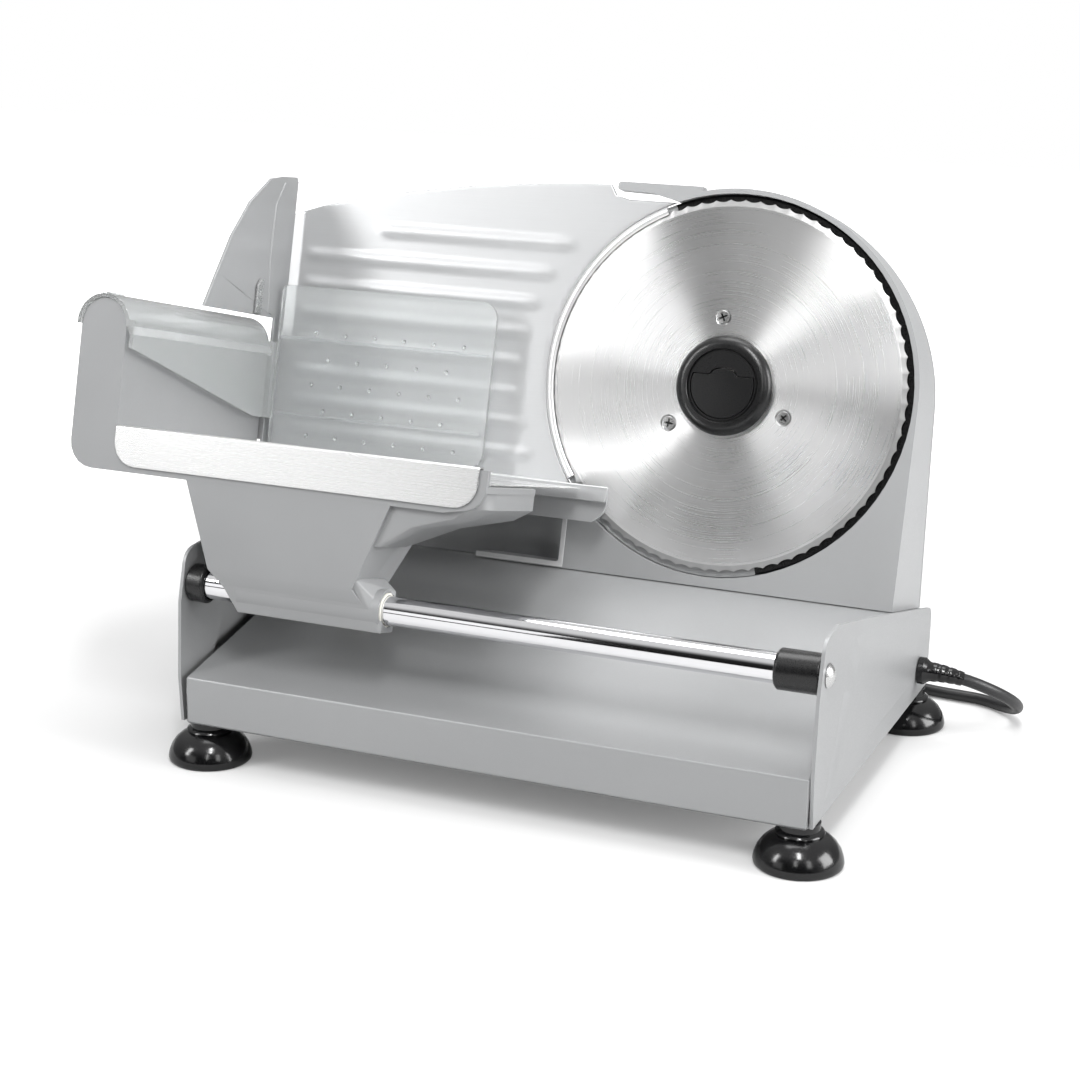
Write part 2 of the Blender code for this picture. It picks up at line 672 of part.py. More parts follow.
def build_blade():
    center = (BLADE_X, BLADE_T, BLADE_W)
    blade = add_piece("blade", blade_mesh(), POLISHED_STEEL, LEANING, center)
    for _, x, w in screw_places():
        cut(blade, rod(BLADE_SCREW_RADIUS + BOLT_GAP, 1, BLADE_T - OVERCUT,
                       BLADE_BACK_T + OVERCUT, (x, 0, w), 16))
        cut(blade, lathe([(0, BLADE_T - 0.5), (BLADE_SCREW_HEAD + 0.7, BLADE_T - 0.5),
                          (BLADE_SCREW_RADIUS + BOLT_GAP - 0.1, BLADE_T + 1.2),
                          (0, BLADE_T + 1.2)], 1, 24, (x, 0, w)))
    return blade


def build_blade_carrier():
    """The disc that the blade is screwed to, in one with its spindle."""
    back = CARRIER_FRONT_T + CARRIER_THICK
    neck = SPINDLE_RADIUS + 4.0 - GAP
    wheel_front = WHEEL_T - WHEEL_THICK / 2
    profile = [(0, CARRIER_FRONT_T), (CARRIER_RADIUS, CARRIER_FRONT_T), (CARRIER_RADIUS, back),
               (SPINDLE_RADIUS, back), (SPINDLE_RADIUS, wheel_front - GAP),
               (SPINDLE_RADIUS - 2, wheel_front - GAP), (SPINDLE_RADIUS - 2, SPINDLE_END_T),
               (0, SPINDLE_END_T)]
    center = (BLADE_X, 0, BLADE_W)
    carrier = add_piece("blade_carrier", lathe(profile, 1, 40, center), WHITE_NYLON, LEANING,
                        (BLADE_X, CARRIER_FRONT_T, BLADE_W))
    for _, x, w in screw_places():
        cut(carrier, rod(BLADE_SCREW_RADIUS + GAP, 1, CARRIER_FRONT_T - OVERCUT,
                         back + OVERCUT, (x, 0, w), 16))
    hub_bore = 3.0
    cut(carrier, rod(hub_bore, 1, CARRIER_FRONT_T - OVERCUT, CARRIER_FRONT_T + 12.0, center, 24))
    bearing = [(SPINDLE_RADIUS + RUN_GAP, RECESS_FLOOR_T + GAP), (neck, RECESS_FLOOR_T + GAP),
               (neck, RECESS_FLOOR_T + HOUSING_WALL + GAP),
               (neck + 5.0, RECESS_FLOOR_T + HOUSING_WALL + GAP),
               (neck + 5.0, wheel_front - 2.0), (SPINDLE_RADIUS + RUN_GAP, wheel_front - 2.0)]
    add_piece("spindle_bearing", lathe(bearing, 1, 32, center), BRASS, LEANING)
    return carrier


def build_blade_screws():
    """Countersunk screws with a cross recess."""
    for number, x, w in screw_places():
        reach = CARRIER_FRONT_T + CARRIER_THICK - 0.2
        profile = [(0, BLADE_T - 0.6), (2.2, BLADE_T - 0.5), (BLADE_SCREW_HEAD, BLADE_T - 0.05),
                   (BLADE_SCREW_RADIUS, BLADE_T + 0.9), (BLADE_SCREW_RADIUS, reach), (0, reach)]
        screw = add_piece("blade_screw_%d" % number, lathe(profile, 1, 24, (x, 0, w)), ZINC,
                          LEANING, (x, BLADE_T, w))
        depth = (BLADE_T - 2.0, BLADE_T + 0.5)
        cut(screw, box((x - 1.7, x + 1.7), depth, (w - 0.35, w + 0.35)))
        cut(screw, box((x - 0.35, x + 0.35), depth, (w - 1.7, w + 1.7)))


def build_lock_knob():
    """The black hub knob that locks the blade, with a pocket for its folding grip."""
    back = BLADE_T - GAP
    face = back - KNOB_HEIGHT
    profile = [(0, face + 0.8), (GRIP_RADIUS + 1.6, face + 0.8), (GRIP_RADIUS + 2.2, face),
               (KNOB_RADIUS - 3.4, face), (KNOB_RADIUS - 1.0, face + 1.3), (KNOB_RADIUS, back - 0.9),
               (KNOB_RADIUS, back), (0, back)]
    center = (BLADE_X, 0, BLADE_W)
    knob = add_piece("lock_knob", lathe(profile, 1, 48, center), BLACK_PLASTIC, LEANING,
                     (BLADE_X, back, BLADE_W))
    stem = [(0, back - 1.0), (2.5, back - 1.0), (2.5, CARRIER_FRONT_T + 10.0),
            (0, CARRIER_FRONT_T + 10.0)]
    join(knob, lathe(stem, 1, 24, center))
    pocket = prism(grip_outline(GAP), 1, face - OVERCUT, face + 0.8 + GRIP_THICK + GAP)
    cut(knob, pocket)
    grip_front = face + 0.8
    grip = add_piece("lock_grip", prism(grip_outline(0.0), 1, grip_front, grip_front + GRIP_THICK),
                     BLACK_PLASTIC, LEANING, (BLADE_X, grip_front, BLADE_W + GRIP_LINE))
    return knob, grip


def grip_outline(clearance):
    """A half-moon below the hinge line."""
    radius = GRIP_RADIUS + clearance
    line = GRIP_LINE + clearance
    half = sqrt(radius * radius - line * line)
    start = atan2(line, half)
    return arc(HUB, radius, start, -pi - start, 24)


def gear_wheel():
    """A straight-cut wheel whose gaps face the worm at rest."""
    spots = []
    pitch_angle = 2 * pi / WHEEL_TEETH
    outer = WHEEL_RADIUS + TOOTH_HEIGHT
    root = WHEEL_RADIUS - TOOTH_HEIGHT - 0.5
    for i in range(WHEEL_TEETH):
        middle = -pi / 2 + (i + 0.5) * pitch_angle
        for offset, radius in ((-0.29, root), (-0.13, outer), (0.13, outer), (0.29, root)):
            angle = middle + offset * pitch_angle
            spots.append((BLADE_X + radius * cos(angle), BLADE_W + radius * sin(angle)))
    wheel = prism(spots, 1, WHEEL_T - WHEEL_THICK / 2, WHEEL_T + WHEEL_THICK / 2)
    return wheel


def build_drive():
    wheel = add_piece("worm_wheel", gear_wheel(), WHITE_NYLON, LEANING,
                      (BLADE_X, WHEEL_T, BLADE_W))
    cut(wheel, rod(SPINDLE_RADIUS - 2 + GAP, 1, WHEEL_T - WHEEL_THICK, WHEEL_T + WHEEL_THICK,
                   (BLADE_X, 0, BLADE_W)))
    motor_front = BLADE_X + 26.0
    worm = add_piece("worm_shaft", worm_mesh(), BRASS, LEANING, (BLADE_X, WHEEL_T, WORM_W))
    join(worm, rod(3.0, 0, BLADE_X + 14.0, motor_front + 12.0, (0, WHEEL_T, WORM_W), 16))
    can = [(3.0 + RUN_GAP, motor_front), (12.0, motor_front), (12.0, motor_front + 3.0),
           (MOTOR_RADIUS, motor_front + 3.0), (MOTOR_RADIUS, motor_front + MOTOR_LENGTH),
           (0, motor_front + MOTOR_LENGTH), (0, motor_front + 14.0),
           (3.0 + RUN_GAP, motor_front + 14.0)]
    add_piece("motor", lathe(can, 0, 40, (0, WHEEL_T, WORM_W)), ZINC, LEANING)
    return worm


def worm_mesh():
    """A single-start thread of round section rows: its radius follows the helix's phase."""
    pitch = pi * MODULE
    half_length = 3.4 * pitch
    rows, around = 42, 16
    tip = WORM_RADIUS + TOOTH_HEIGHT - 0.2
    root = WORM_RADIUS - TOOTH_HEIGHT - 0.4
    mesh = bmesh.new()
    rings = []
    for i in range(rows + 1):
        along = -half_length + 2 * half_length * i / rows
        ring = []
        for k in range(around):
            turn = 2 * pi * k / around
            phase = (along / pitch - turn / (2 * pi) + 0.25 + 0.5) % 1.0 - 0.5
            rise = max(0.0, min(1.0, (0.24 - abs(phase)) / 0.12))
            if i in (0, rows):
                rise = 0.0
            radius = root + (tip - root) * rise
            ring.append(mesh.verts.new((BLADE_X + along, WHEEL_T + radius * cos(turn),
                                        WORM_W + radius * sin(turn))))
        rings.append(ring)
    for first, second in zip(rings, rings[1:]):
        for k in range(around):
            j = (k + 1) % around
            mesh.faces.new((first[k], first[j], second[j], second[k]))
    mesh.faces.new(rings[0])
    mesh.faces.new(rings[-1])
    bmesh.ops.recalc_face_normals(mesh, faces=mesh.faces)
    return mesh


# --- guide plate --------------------------------------------------------------------------

GUIDE_PIN_RADIUS = 4.0
GUIDE_PIN_W = 118.0


def guide_pin_places():
    return (CAM_X - 32.0, CAM_X + 32.0)


def plate_outline():
    """The plate's edge in (x, w): long curved top, a notch, and an arc around the blade."""
    foot = PLATE_FOOT_W
    arc_low = -pi + atan2(BLADE_W - foot, sqrt(PLATE_ARC ** 2 - (BLADE_W - foot) ** 2))
    arc_top = pi - atan2(279.6 - BLADE_W, sqrt(PLATE_ARC ** 2 - (279.6 - BLADE_W) ** 2))
    edge = [(PLATE_LEFT_X, foot), (PLATE_LEFT_X, 259.0), (-168.0, 269.4), (-135.0, 276.0),
            (-97.0, 281.8), (-60.0, 285.2), (-21.0, 287.0), (-17.6, 281.4), (-10.0, 279.6)]
    edge += arc(HUB, PLATE_ARC, arc_top, 2 * pi + arc_low, 26)
    return edge


def build_guide_plate():
    back = PLATE_T + PLATE_THICK
    origin = (CAM_X, PLATE_T, PLATE_FOOT_W)
    plate = add_piece("guide_plate", prism(plate_outline(), 1, PLATE_T, back), SATIN_PLATE,
                      LEANING, origin)
    inner = BLADE_X - sqrt(PLATE_ARC ** 2 - (BLADE_W - PLATE_FOOT_W) ** 2)
    ledge = [(LEDGE_LEFT_X, back - 0.1), (LEDGE_LEFT_X, LEDGE_FRONT_T),
             (LEDGE_RIGHT_X, LEDGE_FRONT_T), (LEDGE_RIGHT_X - 2.0, COVE_T + PLATE_THICK),
             (inner - 1.0, COVE_T + PLATE_THICK), (inner - 1.0, back - 0.1)]
    join(plate, prism(ledge, 2, PLATE_FOOT_W, PLATE_FOOT_W + PLATE_THICK))
    lip_outline = [(LEDGE_LEFT_X, LIP_BOTTOM_W), (LEDGE_RIGHT_X - 1.0, LIP_BOTTOM_W + 1.0),
                   (LEDGE_RIGHT_X, PLATE_FOOT_W + 1.9), (LEDGE_LEFT_X, PLATE_FOOT_W + 1.9)]
    join(plate, prism(lip_outline, 1, LEDGE_FRONT_T, LEDGE_FRONT_T + PLATE_THICK))
    cove = [(COVE_LEFT_X, PLATE_FOOT_W + 1.0), (COVE_LEFT_X, COVE_BOTTOM_W),
            (-4.3, COVE_BOTTOM_W), (-0.5, COVE_BOTTOM_W + 2.6), (1.9, COVE_BOTTOM_W + 5.2),
            (3.4, COVE_BOTTOM_W + 9.4), (3.0, PLATE_FOOT_W + 1.0)]
    join(plate, prism(cove, 1, COVE_T, COVE_T + PLATE_THICK))
    for x, w in rib_ends():
        rib = rounded([(x[0], w - RIB_RADIUS, RIB_RADIUS * 0.98),
                       (x[1], w - RIB_RADIUS, RIB_RADIUS * 0.98),
                       (x[1], w + RIB_RADIUS, RIB_RADIUS * 0.98),
                       (x[0], w + RIB_RADIUS, RIB_RADIUS * 0.98)], 5)
        join(plate, prism(rib, 1, PLATE_T - RIB_HEIGHT, PLATE_T + 0.5))
    return plate


def rib_ends():
    """Where each pressed rib starts and stops: they follow the blade's arc on the right."""
    top = 254.0
    inset = 13.5
    for i in range(8):
        w = top - RIB_PITCH * i
        reach = PLATE_ARC + inset
        rise = w - BLADE_W
        right = BLADE_X - sqrt(reach * reach - rise * rise)
        left = -152.0 if i == 0 else -196.0
        yield (left, right), w


def build_guide_bracket():
    """The block behind the plate, with two pins that slide in the housing's wing."""
    back = PLATE_T + PLATE_THICK + GAP
    block = box((CAM_X - 40.0, CAM_X + 40.0), (back, back + 5.0), (104.0, PLATE_FOOT_W + 14.0))
    origin = (CAM_X, back, CAM_W)
    bracket = add_piece("guide_bracket", block, GREY_PLASTIC, LEANING, origin)
    for x in guide_pin_places():
        join(bracket, rod(GUIDE_PIN_RADIUS, 1, back + 4.0, WING_T + 12.0, (x, 0, GUIDE_PIN_W), 20))
    boss_end = WING_T - 1.0
    join(bracket, rod(NUT_RADIUS, 1, back + 2.0, boss_end, (CAM_X, 0, CAM_W), 24))
    cut(bracket, rod(CAM_RADIUS, 1, back - OVERCUT, boss_end + OVERCUT, (CAM_X, 0, CAM_W), 20))
    return bracket


KNOB_FRONT_T = ((HOUSING_REAR_Y + GAP + COVER_THICK - CAM_W * sin(LEAN)) / cos(LEAN)
                + SET_KNOB_STAND)


def build_thickness_knob():
    """The screw spindle that sets the guide plate, and its knob behind the housing."""
    tip = PLATE_T + PLATE_THICK + GUIDE_TRAVEL + 0.6
    radius = CAM_RADIUS - RUN_GAP
    seat = KNOB_FRONT_T + 6.0
    profile = [(0, tip), (radius, tip), (radius, seat), (0, seat)]
    center = (CAM_X, 0, CAM_W)
    spindle = add_piece("thickness_spindle", lathe(profile, 1, 24, center), ZINC, LEANING,
                        (CAM_X, KNOB_FRONT_T, CAM_W))
    spots = []
    flutes = 18
    for i in range(flutes * 4):
        dip = 0.9 if i % 4 in (1, 2) else 0.0
        angle = 2 * pi * i / (flutes * 4)
        spots.append((CAM_X + (SET_KNOB_RADIUS - dip) * cos(angle),
                      CAM_W + (SET_KNOB_RADIUS - dip) * sin(angle)))
    knob = add_piece("thickness_knob", prism(spots, 1, KNOB_FRONT_T, KNOB_FRONT_T + SET_KNOB_DEPTH),
                     BLACK_PLASTIC, LEANING, (CAM_X, KNOB_FRONT_T, CAM_W))
    cut(knob, rod(radius + GAP, 1, KNOB_FRONT_T - OVERCUT, seat + GAP, center, 24))
    return spindle, knob


# --- switch -------------------------------------------------------------------------------

SWITCH_X = -50.0
SWITCH_Z = 92.0
SWITCH_HALF = (11.0, 7.5)
BEZEL = 2.0


def build_switch():
    """Rocker switch on the back: a frame in the cover and the rocker that tips in it."""
    face = HOUSING_REAR_Y + GAP + COVER_THICK
    frame_half = (SWITCH_HALF[0] + BEZEL, SWITCH_HALF[1] + BEZEL)
    wall = 1.2
    inner = (SWITCH_HALF[0] - GAP - wall, SWITCH_HALF[1] - GAP - wall)

    def around(half, y):
        return box((SWITCH_X - half[0], SWITCH_X + half[0]), y,
                   (SWITCH_Z - half[1], SWITCH_Z + half[1]))

    frame = add_piece("switch_frame", around(frame_half, (face + GAP, face + GAP + 1.4)),
                      BLACK_PLASTIC)
    join(frame, around((SWITCH_HALF[0] - GAP, SWITCH_HALF[1] - GAP), (face - 14.0, face + 1.0)))
    cut(frame, around(inner, (face - 12.0, face + OVERCUT)))
    half = (inner[0] - 1.7, inner[1] - 1.0)
    pivot_y = face - 3.0
    rocker = [(SWITCH_X - half[0], pivot_y - 3.0), (SWITCH_X + half[0], pivot_y - 3.0),
              (SWITCH_X + half[0], pivot_y + 4.8), (SWITCH_X, pivot_y + 3.6),
              (SWITCH_X - half[0], pivot_y + 6.6)]
    add_piece("switch_rocker", prism(rocker, 2, SWITCH_Z - half[1], SWITCH_Z + half[1]),
              BLACK_PLASTIC, origin=(SWITCH_X, pivot_y, SWITCH_Z))


# --- carriage -----------------------------------------------------------------------------

WALL_OUTER_X = WALL_INNER_X - WALL_WIDTH
WALL_MID_X = WALL_INNER_X - WALL_WIDTH / 2
CAP_RADIUS = WALL_WIDTH / 2
ROD_T = ROD_Y * cos(LEAN) - ROD_Z * sin(LEAN)
ROD_W = ROD_Y * sin(LEAN) + ROD_Z * cos(LEAN)


def wall_outline(inset, corner, floor):
    """The left wall's section in (x, w), with its half-round top."""
    radius = CAP_RADIUS - inset
    spots = arc((WALL_MID_X, CAP_W), radius, 0.0, pi, 14)
    spots += arc((WALL_OUTER_X + inset + corner, floor + corner), corner, pi, 1.5 * pi, 5)
    spots += [(WALL_INNER_X - inset, floor)]
    return spots


def arm_ring(w, left, right, front, rear, corner=0.5, rear_right=None):
    """One level of a hollow arm, seen from above, with its front right corner rounded."""
    ring = [(left, front, w)]
    for x, t in arc((right - corner, front + corner), corner, -pi / 2, 0.0, 5):
        ring.append((x, t, w))
    ring.append((right if rear_right is None else rear_right, rear, w))
    ring.append((left, rear, w))
    return ring


def build_carriage_body():
    front = CARRIAGE_FRONT_T
    wall = prism(wall_outline(0.0, 13.0, RIM_BOTTOM_W), 1, front, WALL_REAR_T)
    body = add_piece("carriage_body", wall, GREY_PLASTIC, LEANING, (0.0, ROD_T, ROD_W))
    hollow = wall_outline(CARRIAGE_WALL, 10.0, RIM_BOTTOM_W + CARRIAGE_WALL)
    cut(body, prism(hollow, 1, front + CARRIAGE_WALL, WALL_REAR_T + OVERCUT))
    cut(body, box((WALL_OUTER_X - OVERCUT, WALL_INNER_X + OVERCUT),
                  (CARRIAGE_REAR_T, WALL_REAR_T + OVERCUT), (RIM_BOTTOM_W - OVERCUT, GUARD_FOOT_W)))
    floor = rounded([(WALL_INNER_X - 2.0, front, 0), (CARRIAGE_RIGHT_X, front, 0),
                     (CARRIAGE_RIGHT_X, front + 60.0, 0), (CARRIAGE_RIGHT_X - 55.0, CARRIAGE_REAR_T, 0),
                     (WALL_INNER_X - 2.0, CARRIAGE_REAR_T, 0)])
    join(body, prism(floor, 2, FLOOR_W - FLOOR_THICK, FLOOR_W))
    corner = RIM_TOP_W - FLOOR_W
    rim = [(WALL_INNER_X - 2.0, RIM_BOTTOM_W), (-26.0, RIM_BOTTOM_W)]
    rim += arc((CARRIAGE_RIGHT_X - 12.0, RIM_BOTTOM_W + 13.6), 12.0, -pi / 2, 0.0, 6)
    rim += [(CARRIAGE_RIGHT_X, RIM_TOP_W), (WALL_INNER_X - 2.0, RIM_TOP_W)]
    join(body, prism(rim, 1, front, front + CARRIAGE_WALL + 0.4))
    arm = loft([arm_ring(FLOOR_W - 1.0, -167.0, -49.0, front + 0.1, -60.0),
                arm_ring(RIM_BOTTOM_W, -161.6, -52.2, front + 0.1, -78.0),
                arm_ring(72.8, -145.0, -67.6, front + 0.1, -103.0, rear_right=-63.5),
                arm_ring(55.8, -129.6, -55.8, front + 9.0, -107.0)])
    join(body, arm)
    gusset = loft([arm_ring(FLOOR_W - 0.8, -62.0, CARRIAGE_RIGHT_X - 0.3, front + 2.5, -70.0, 12.0),
                   arm_ring(117.0, -62.0, CARRIAGE_RIGHT_X - 0.3, front + 2.5, -70.0, 12.0),
                   arm_ring(111.5, -62.0, -13.0, front + 2.5, -74.0, 11.0),
                   arm_ring(105.0, -62.5, -36.0, front + 2.5, -84.0, 8.0),
                   arm_ring(94.0, -64.0, -55.5, front + 2.5, -100.0, 4.0)])
    join(body, gusset)
    gusset_void = [(CARRIAGE_RIGHT_X - CARRIAGE_WALL, FLOOR_W - FLOOR_THICK), (-9.0, 118.0),
                   (-16.0, 115.0), (-36.0, 110.0), (-36.0, FLOOR_W - FLOOR_THICK)]
    cut(body, prism(gusset_void, 1, front + 16.0, front + 60.0 + OVERCUT))
    join(body, rod(BOSS_RADIUS, 0, ARM_LEFT_X, ARM_RIGHT_X, (0, ROD_T, ROD_W), 32))
    arm_void = loft([arm_ring(FLOOR_W - FLOOR_THICK, -162.0, -56.0, front + 4.0, -66.0),
                     arm_ring(RIM_BOTTOM_W, -156.0, -57.0, front + 4.0, -70.0),
                     arm_ring(80.0, -143.0, -70.0, front + 4.0, -98.0)])
    cut(body, arm_void)
    cut(body, box((-140.0, -66.0), (-104.0, -40.0), (84.0, FLOOR_W - FLOOR_THICK - 6.0)))
    leg_y = (GLIDE_Y - 6.0, GLIDE_Y + 6.0)
    join(body, box((GLIDE_X - 8.0, GLIDE_X + 8.0), leg_y, (GLIDE_TOP_Z + GAP, 135.2)), UPRIGHT)
    bore = ROD_RADIUS + GAP + BUSH_WALL + GAP
    cut(body, rod(bore, 0, ARM_LEFT_X - 20.0, ARM_RIGHT_X + 20.0, (0, ROD_T, ROD_W), 32))
    return body


GLIDE_X = -112.0
GLIDE_Y = -26.0
GLIDE_TOP_Z = 72.0


def build_carriage_glide():
    """The nylon shoe under the carriage's rear leg; its foot follows the apron's slope."""
    near, far = GLIDE_Y - 6.0, GLIDE_Y + 6.0
    lift = 0.5
    side = [(near, apron_z(near) + lift), (far, apron_z(far) + lift), (far, GLIDE_TOP_Z),
            (near, GLIDE_TOP_Z)]
    add_piece("carriage_glide", prism(side, 0, GLIDE_X - 8.0, GLIDE_X + 8.0), WHITE_NYLON)


def build_carriage_bushes():
    inner = ROD_RADIUS + GAP
    outer = inner + BUSH_WALL
    for name, low in (("left", ARM_LEFT_X - 0.5), ("right", ARM_RIGHT_X - BUSH_LENGTH + 0.5)):
        add_piece("carriage_bush_" + name,
                  tube(outer, inner, 0, low, low + BUSH_LENGTH, (0, ROD_T, ROD_W), 32),
                  WHITE_NYLON, LEANING, (low, ROD_T, ROD_W))


def build_steel_tray():
    """Brushed tray: flat floor, and a front edge that rises and folds down over the rim."""
    floor = FLOOR_W + GAP
    inside = CARRIAGE_FRONT_T + CARRIAGE_WALL + 0.4 + GAP
    outside = CARRIAGE_FRONT_T - GAP
    line = [(CARRIAGE_REAR_T, floor + TRAY_SHEET), (inside + TRAY_SHEET, floor + TRAY_SHEET),
            (inside + TRAY_SHEET, RIM_TOP_W + GAP), (inside, RIM_TOP_W + GAP + TRAY_SHEET),
            (outside, RIM_TOP_W + GAP + TRAY_SHEET), (outside - TRAY_SHEET, RIM_TOP_W + GAP),
            (outside - TRAY_SHEET, 116.6)]
    inner = [(outside, 116.6), (outside, RIM_TOP_W + GAP), (inside, RIM_TOP_W + GAP),
             (inside, floor), (CARRIAGE_REAR_T, floor)]
    left = WALL_INNER_X + GAP
    right = -9.0
    tray = add_piece("steel_tray", prism(line + inner, 0, left, right), BRUSHED_STEEL, LEANING)
    corner = 12.0
    for x, turn in ((left, 1), (right, -1)):
        spots = [(x - turn * OVERCUT, 110.0), (x - turn * OVERCUT, 116.6 + corner),
                 (x, 116.6 + corner)]
        spots += arc((x + turn * corner, 116.6 + corner), corner, pi if turn > 0 else 0.0,
                     (1.5 if turn > 0 else -0.5) * pi, 6)
        spots += [(x + turn * corner, 110.0)]
        cut(tray, prism(spots, 1, outside - 2 * OVERCUT, outside + 0.1))
    return tray


GUARD_X = (-202.7, -201.2)
GUARD_FOOT_W = PLATE_FOOT_W + PLATE_THICK + 0.8


def build_finger_guard():
    """The upright guard at the carriage's back: a sail above the wall and a strip to the tray."""
    sail = [(-63.0, 200.6), (-53.0, 219.0), (-42.0, 239.0), (-26.0, 259.0), (-6.0, 274.0)]
    sail += arc((8.0, 266.0), 11.0, radians(115), radians(90), 2)
    sail += [(22.0, 278.6), (23.6, 276.4), (23.6, GUARD_FOOT_W), (12.2, GUARD_FOOT_W),
             (12.2, 200.6)]
    guard = add_piece("finger_guard", prism(sail, 0, *GUARD_X), PAINTED_STEEL, LEANING)
    crease = [(4.0, 203.0), (0.0, 233.0), (1.0, 261.0), (9.0, 274.0), (12.0, 274.0),
              (4.0, 259.5), (3.0, 233.0), (7.0, 203.0)]
    join(guard, prism(crease, 0, GUARD_X[1] - 0.5, GUARD_X[1] + 0.5))
    tab_t = WALL_REAR_T + GAP + 1.9
    join(guard, box((WALL_OUTER_X + 3.0, GUARD_X[0] + 0.5), (tab_t, tab_t + 1.6), (134.0, 180.0)))
    return guard


def build_guard_clip():
    """The small bright bracket on the guard, just above the wall's round top."""
    low = GUARD_X[1] + GAP
    clip = [(-12.0, 201.4), (-12.0, 216.0), (-9.0, 220.0), (-6.0, 220.0), (-6.0, 201.4)]
    add_piece("guard_clip", prism(clip, 0, low, low + 1.4), ZINC, LEANING)


# --- pusher -------------------------------------------------------------------------------

def build_pusher():
    """Clear pusher: a half-round cap on the wall, a web, and a face plate with small spikes."""
    inner = CAP_RADIUS + GAP
    outer = inner + CAP_WALL
    front = CARRIAGE_FRONT_T - 1.2
    rear = WALL_REAR_T - 1.0
    outline = arc((WALL_MID_X, CAP_W), outer, 0.0, pi + 0.05, 18)
    outline += arc((WALL_MID_X, CAP_W), inner, pi + 0.05, 0.0, 18)
    pusher = add_piece("pusher", prism(outline, 1, front, rear), CLEAR_PLASTIC, LEANING,
                       (WALL_MID_X, PUSHER_T, CAP_W))
    web_x = (GUARD_X[1] + 1.0, GUARD_X[1] + 3.2)
    web = [(front, CAP_W + 3.0), (PUSHER_T + 1.0, CAP_W + 3.0), (PUSHER_T + 1.0, 146.0),
           (-7.0, 146.5), (front, 174.0)]
    join(pusher, prism(web, 0, *web_x))
    shoulder = [(WALL_INNER_X + GAP + 0.1, CAP_W + 3.0), (web_x[1], CAP_W + 3.0),
                (web_x[1], CAP_W - 4.0), (web_x[0], CAP_W - 4.0), (WALL_INNER_X + GAP + 0.1, CAP_W)]
    join(pusher, prism(shoulder, 1, front, rear))
    face_left = web_x[1] - 0.5
    face = rounded([(face_left, PUSHER_FOOT_W, 5.0), (PUSHER_RIGHT_X, PUSHER_FOOT_W, 9.0),
                    (PUSHER_RIGHT_X, PUSHER_TOP_W, 9.0), (face_left, PUSHER_TOP_W, 4.0)], 5)
    join(pusher, prism(face, 1, PUSHER_T, PUSHER_T + PUSHER_THICK))
    back = PUSHER_T + PUSHER_THICK
    for row in range(5):
        count = 6 - row % 2
        w = 194.5 - SPIKE_PITCH_W * row
        for i in range(count):
            x = -176.0 + SPIKE_PITCH_X * (i + 0.5 * (row % 2))
            join(pusher, lathe([(0, back - 0.6), (1.5, back - 0.6), (0.5, back + 2.0),
                                (0, back + 2.2)], 1, 8, (x, 0, w)))
    return pusher


# --- cord ---------------------------------------------------------------------------------

def build_gland():
    """The moulded strain relief that holds the cord in the right side plate."""
    seat = RIGHT_PLATE_X + SHEET + RIGHT_BULGE + GAP
    bore = CORD_RADIUS + 0.4
    profile = [(bore, seat - 8.0), (GLAND_RADIUS - 1.5 - GAP, seat - 8.0),
               (GLAND_RADIUS - 1.5 - GAP, seat), (GLAND_RADIUS, seat), (GLAND_RADIUS, seat + 3.0),
               (GLAND_RADIUS - 1.2, seat + 4.6), (bore + 1.6, seat + 5.6), (bore + 0.7, seat + 10.6),
               (bore, seat + 10.6)]
    add_piece("cord_gland", lathe(profile, 0, 32, (0, GLAND_Y, GLAND_Z)), BLACK_RUBBER)


# Route of the free cord, from the gland to the coil, and from the coil to the plug.
LEAD_ROUTE = [(156.0, 80.0, 37.5), (163.0, 80.0, 37.5), (172.0, 80.0, 37.3), (179.1, 80.7, 36.3),
              (186.4, 83.2, 34.1), (192.9, 87.2, 31.0), (198.8, 93.1, 26.9), (203.1, 100.2, 22.4),
              (205.5, 108.1, 17.7), (205.9, 117.0, 12.9), (203.9, 125.6, 8.7), (199.9, 133.5, 5.5),
              (193.9, 140.0, 3.8), (186.4, 144.8, 3.5), (179.1, 147.3, 3.5), (172.0, 148.0, 3.5),
              (158.0, 149.1, 3.5), (142.0, 152.3, 3.5), (124.0, 157.2, 3.5), (106.0, 162.0, 3.5),
              (90.0, 165.0, 3.5), (77.8, 165.8, 3.5)]
TAIL_ROUTE = [(32.2, 165.8, 16.4), (22.0, 165.8, 15.4), (10.0, 165.7, 13.2), (-3.0, 165.4, 10.9),
              (-16.0, 165.1, 9.6), (-30.0, 165.0, 9.2), (-40.0, 165.0, 9.2)]
COIL_CENTER = (55.0, 203.0)
COIL_RADIUS = 34.0          # at the middle of its turns
COIL_TURNS_WIDE = 2
COIL_TURNS_HIGH = 3
CORD_PITCH = 6.5            # from one turn to the next


def smooth_route(route, spacing):
    """Evenly spaced points on a smooth curve through the route's own points."""
    spots = [Vector(spot) for spot in route]
    spots = [spots[0] * 2 - spots[1]] + spots + [spots[-1] * 2 - spots[-2]]
    fine = []
    for a, b, c, d in zip(spots, spots[1:], spots[2:], spots[3:]):
        for k in range(20):
            u = k / 20
            fine.append(0.5 * (2 * b + (c - a) * u + (2 * a - 5 * b + 4 * c - d) * u ** 2
                               + (3 * b - a - 3 * c + d) * u ** 3))
    fine.append(spots[-2])
    length = sum((b - a).length for a, b in zip(fine, fine[1:]))
    count = round(length / spacing)
    even, gone, due = [fine[0]], 0.0, length / count
    for a, b in zip(fine, fine[1:]):
        gone += (b - a).length
        if gone >= due * len(even) - 1e-6 and len(even) < count:
            even.append(b)
    even.append(fine[-1])
    return even


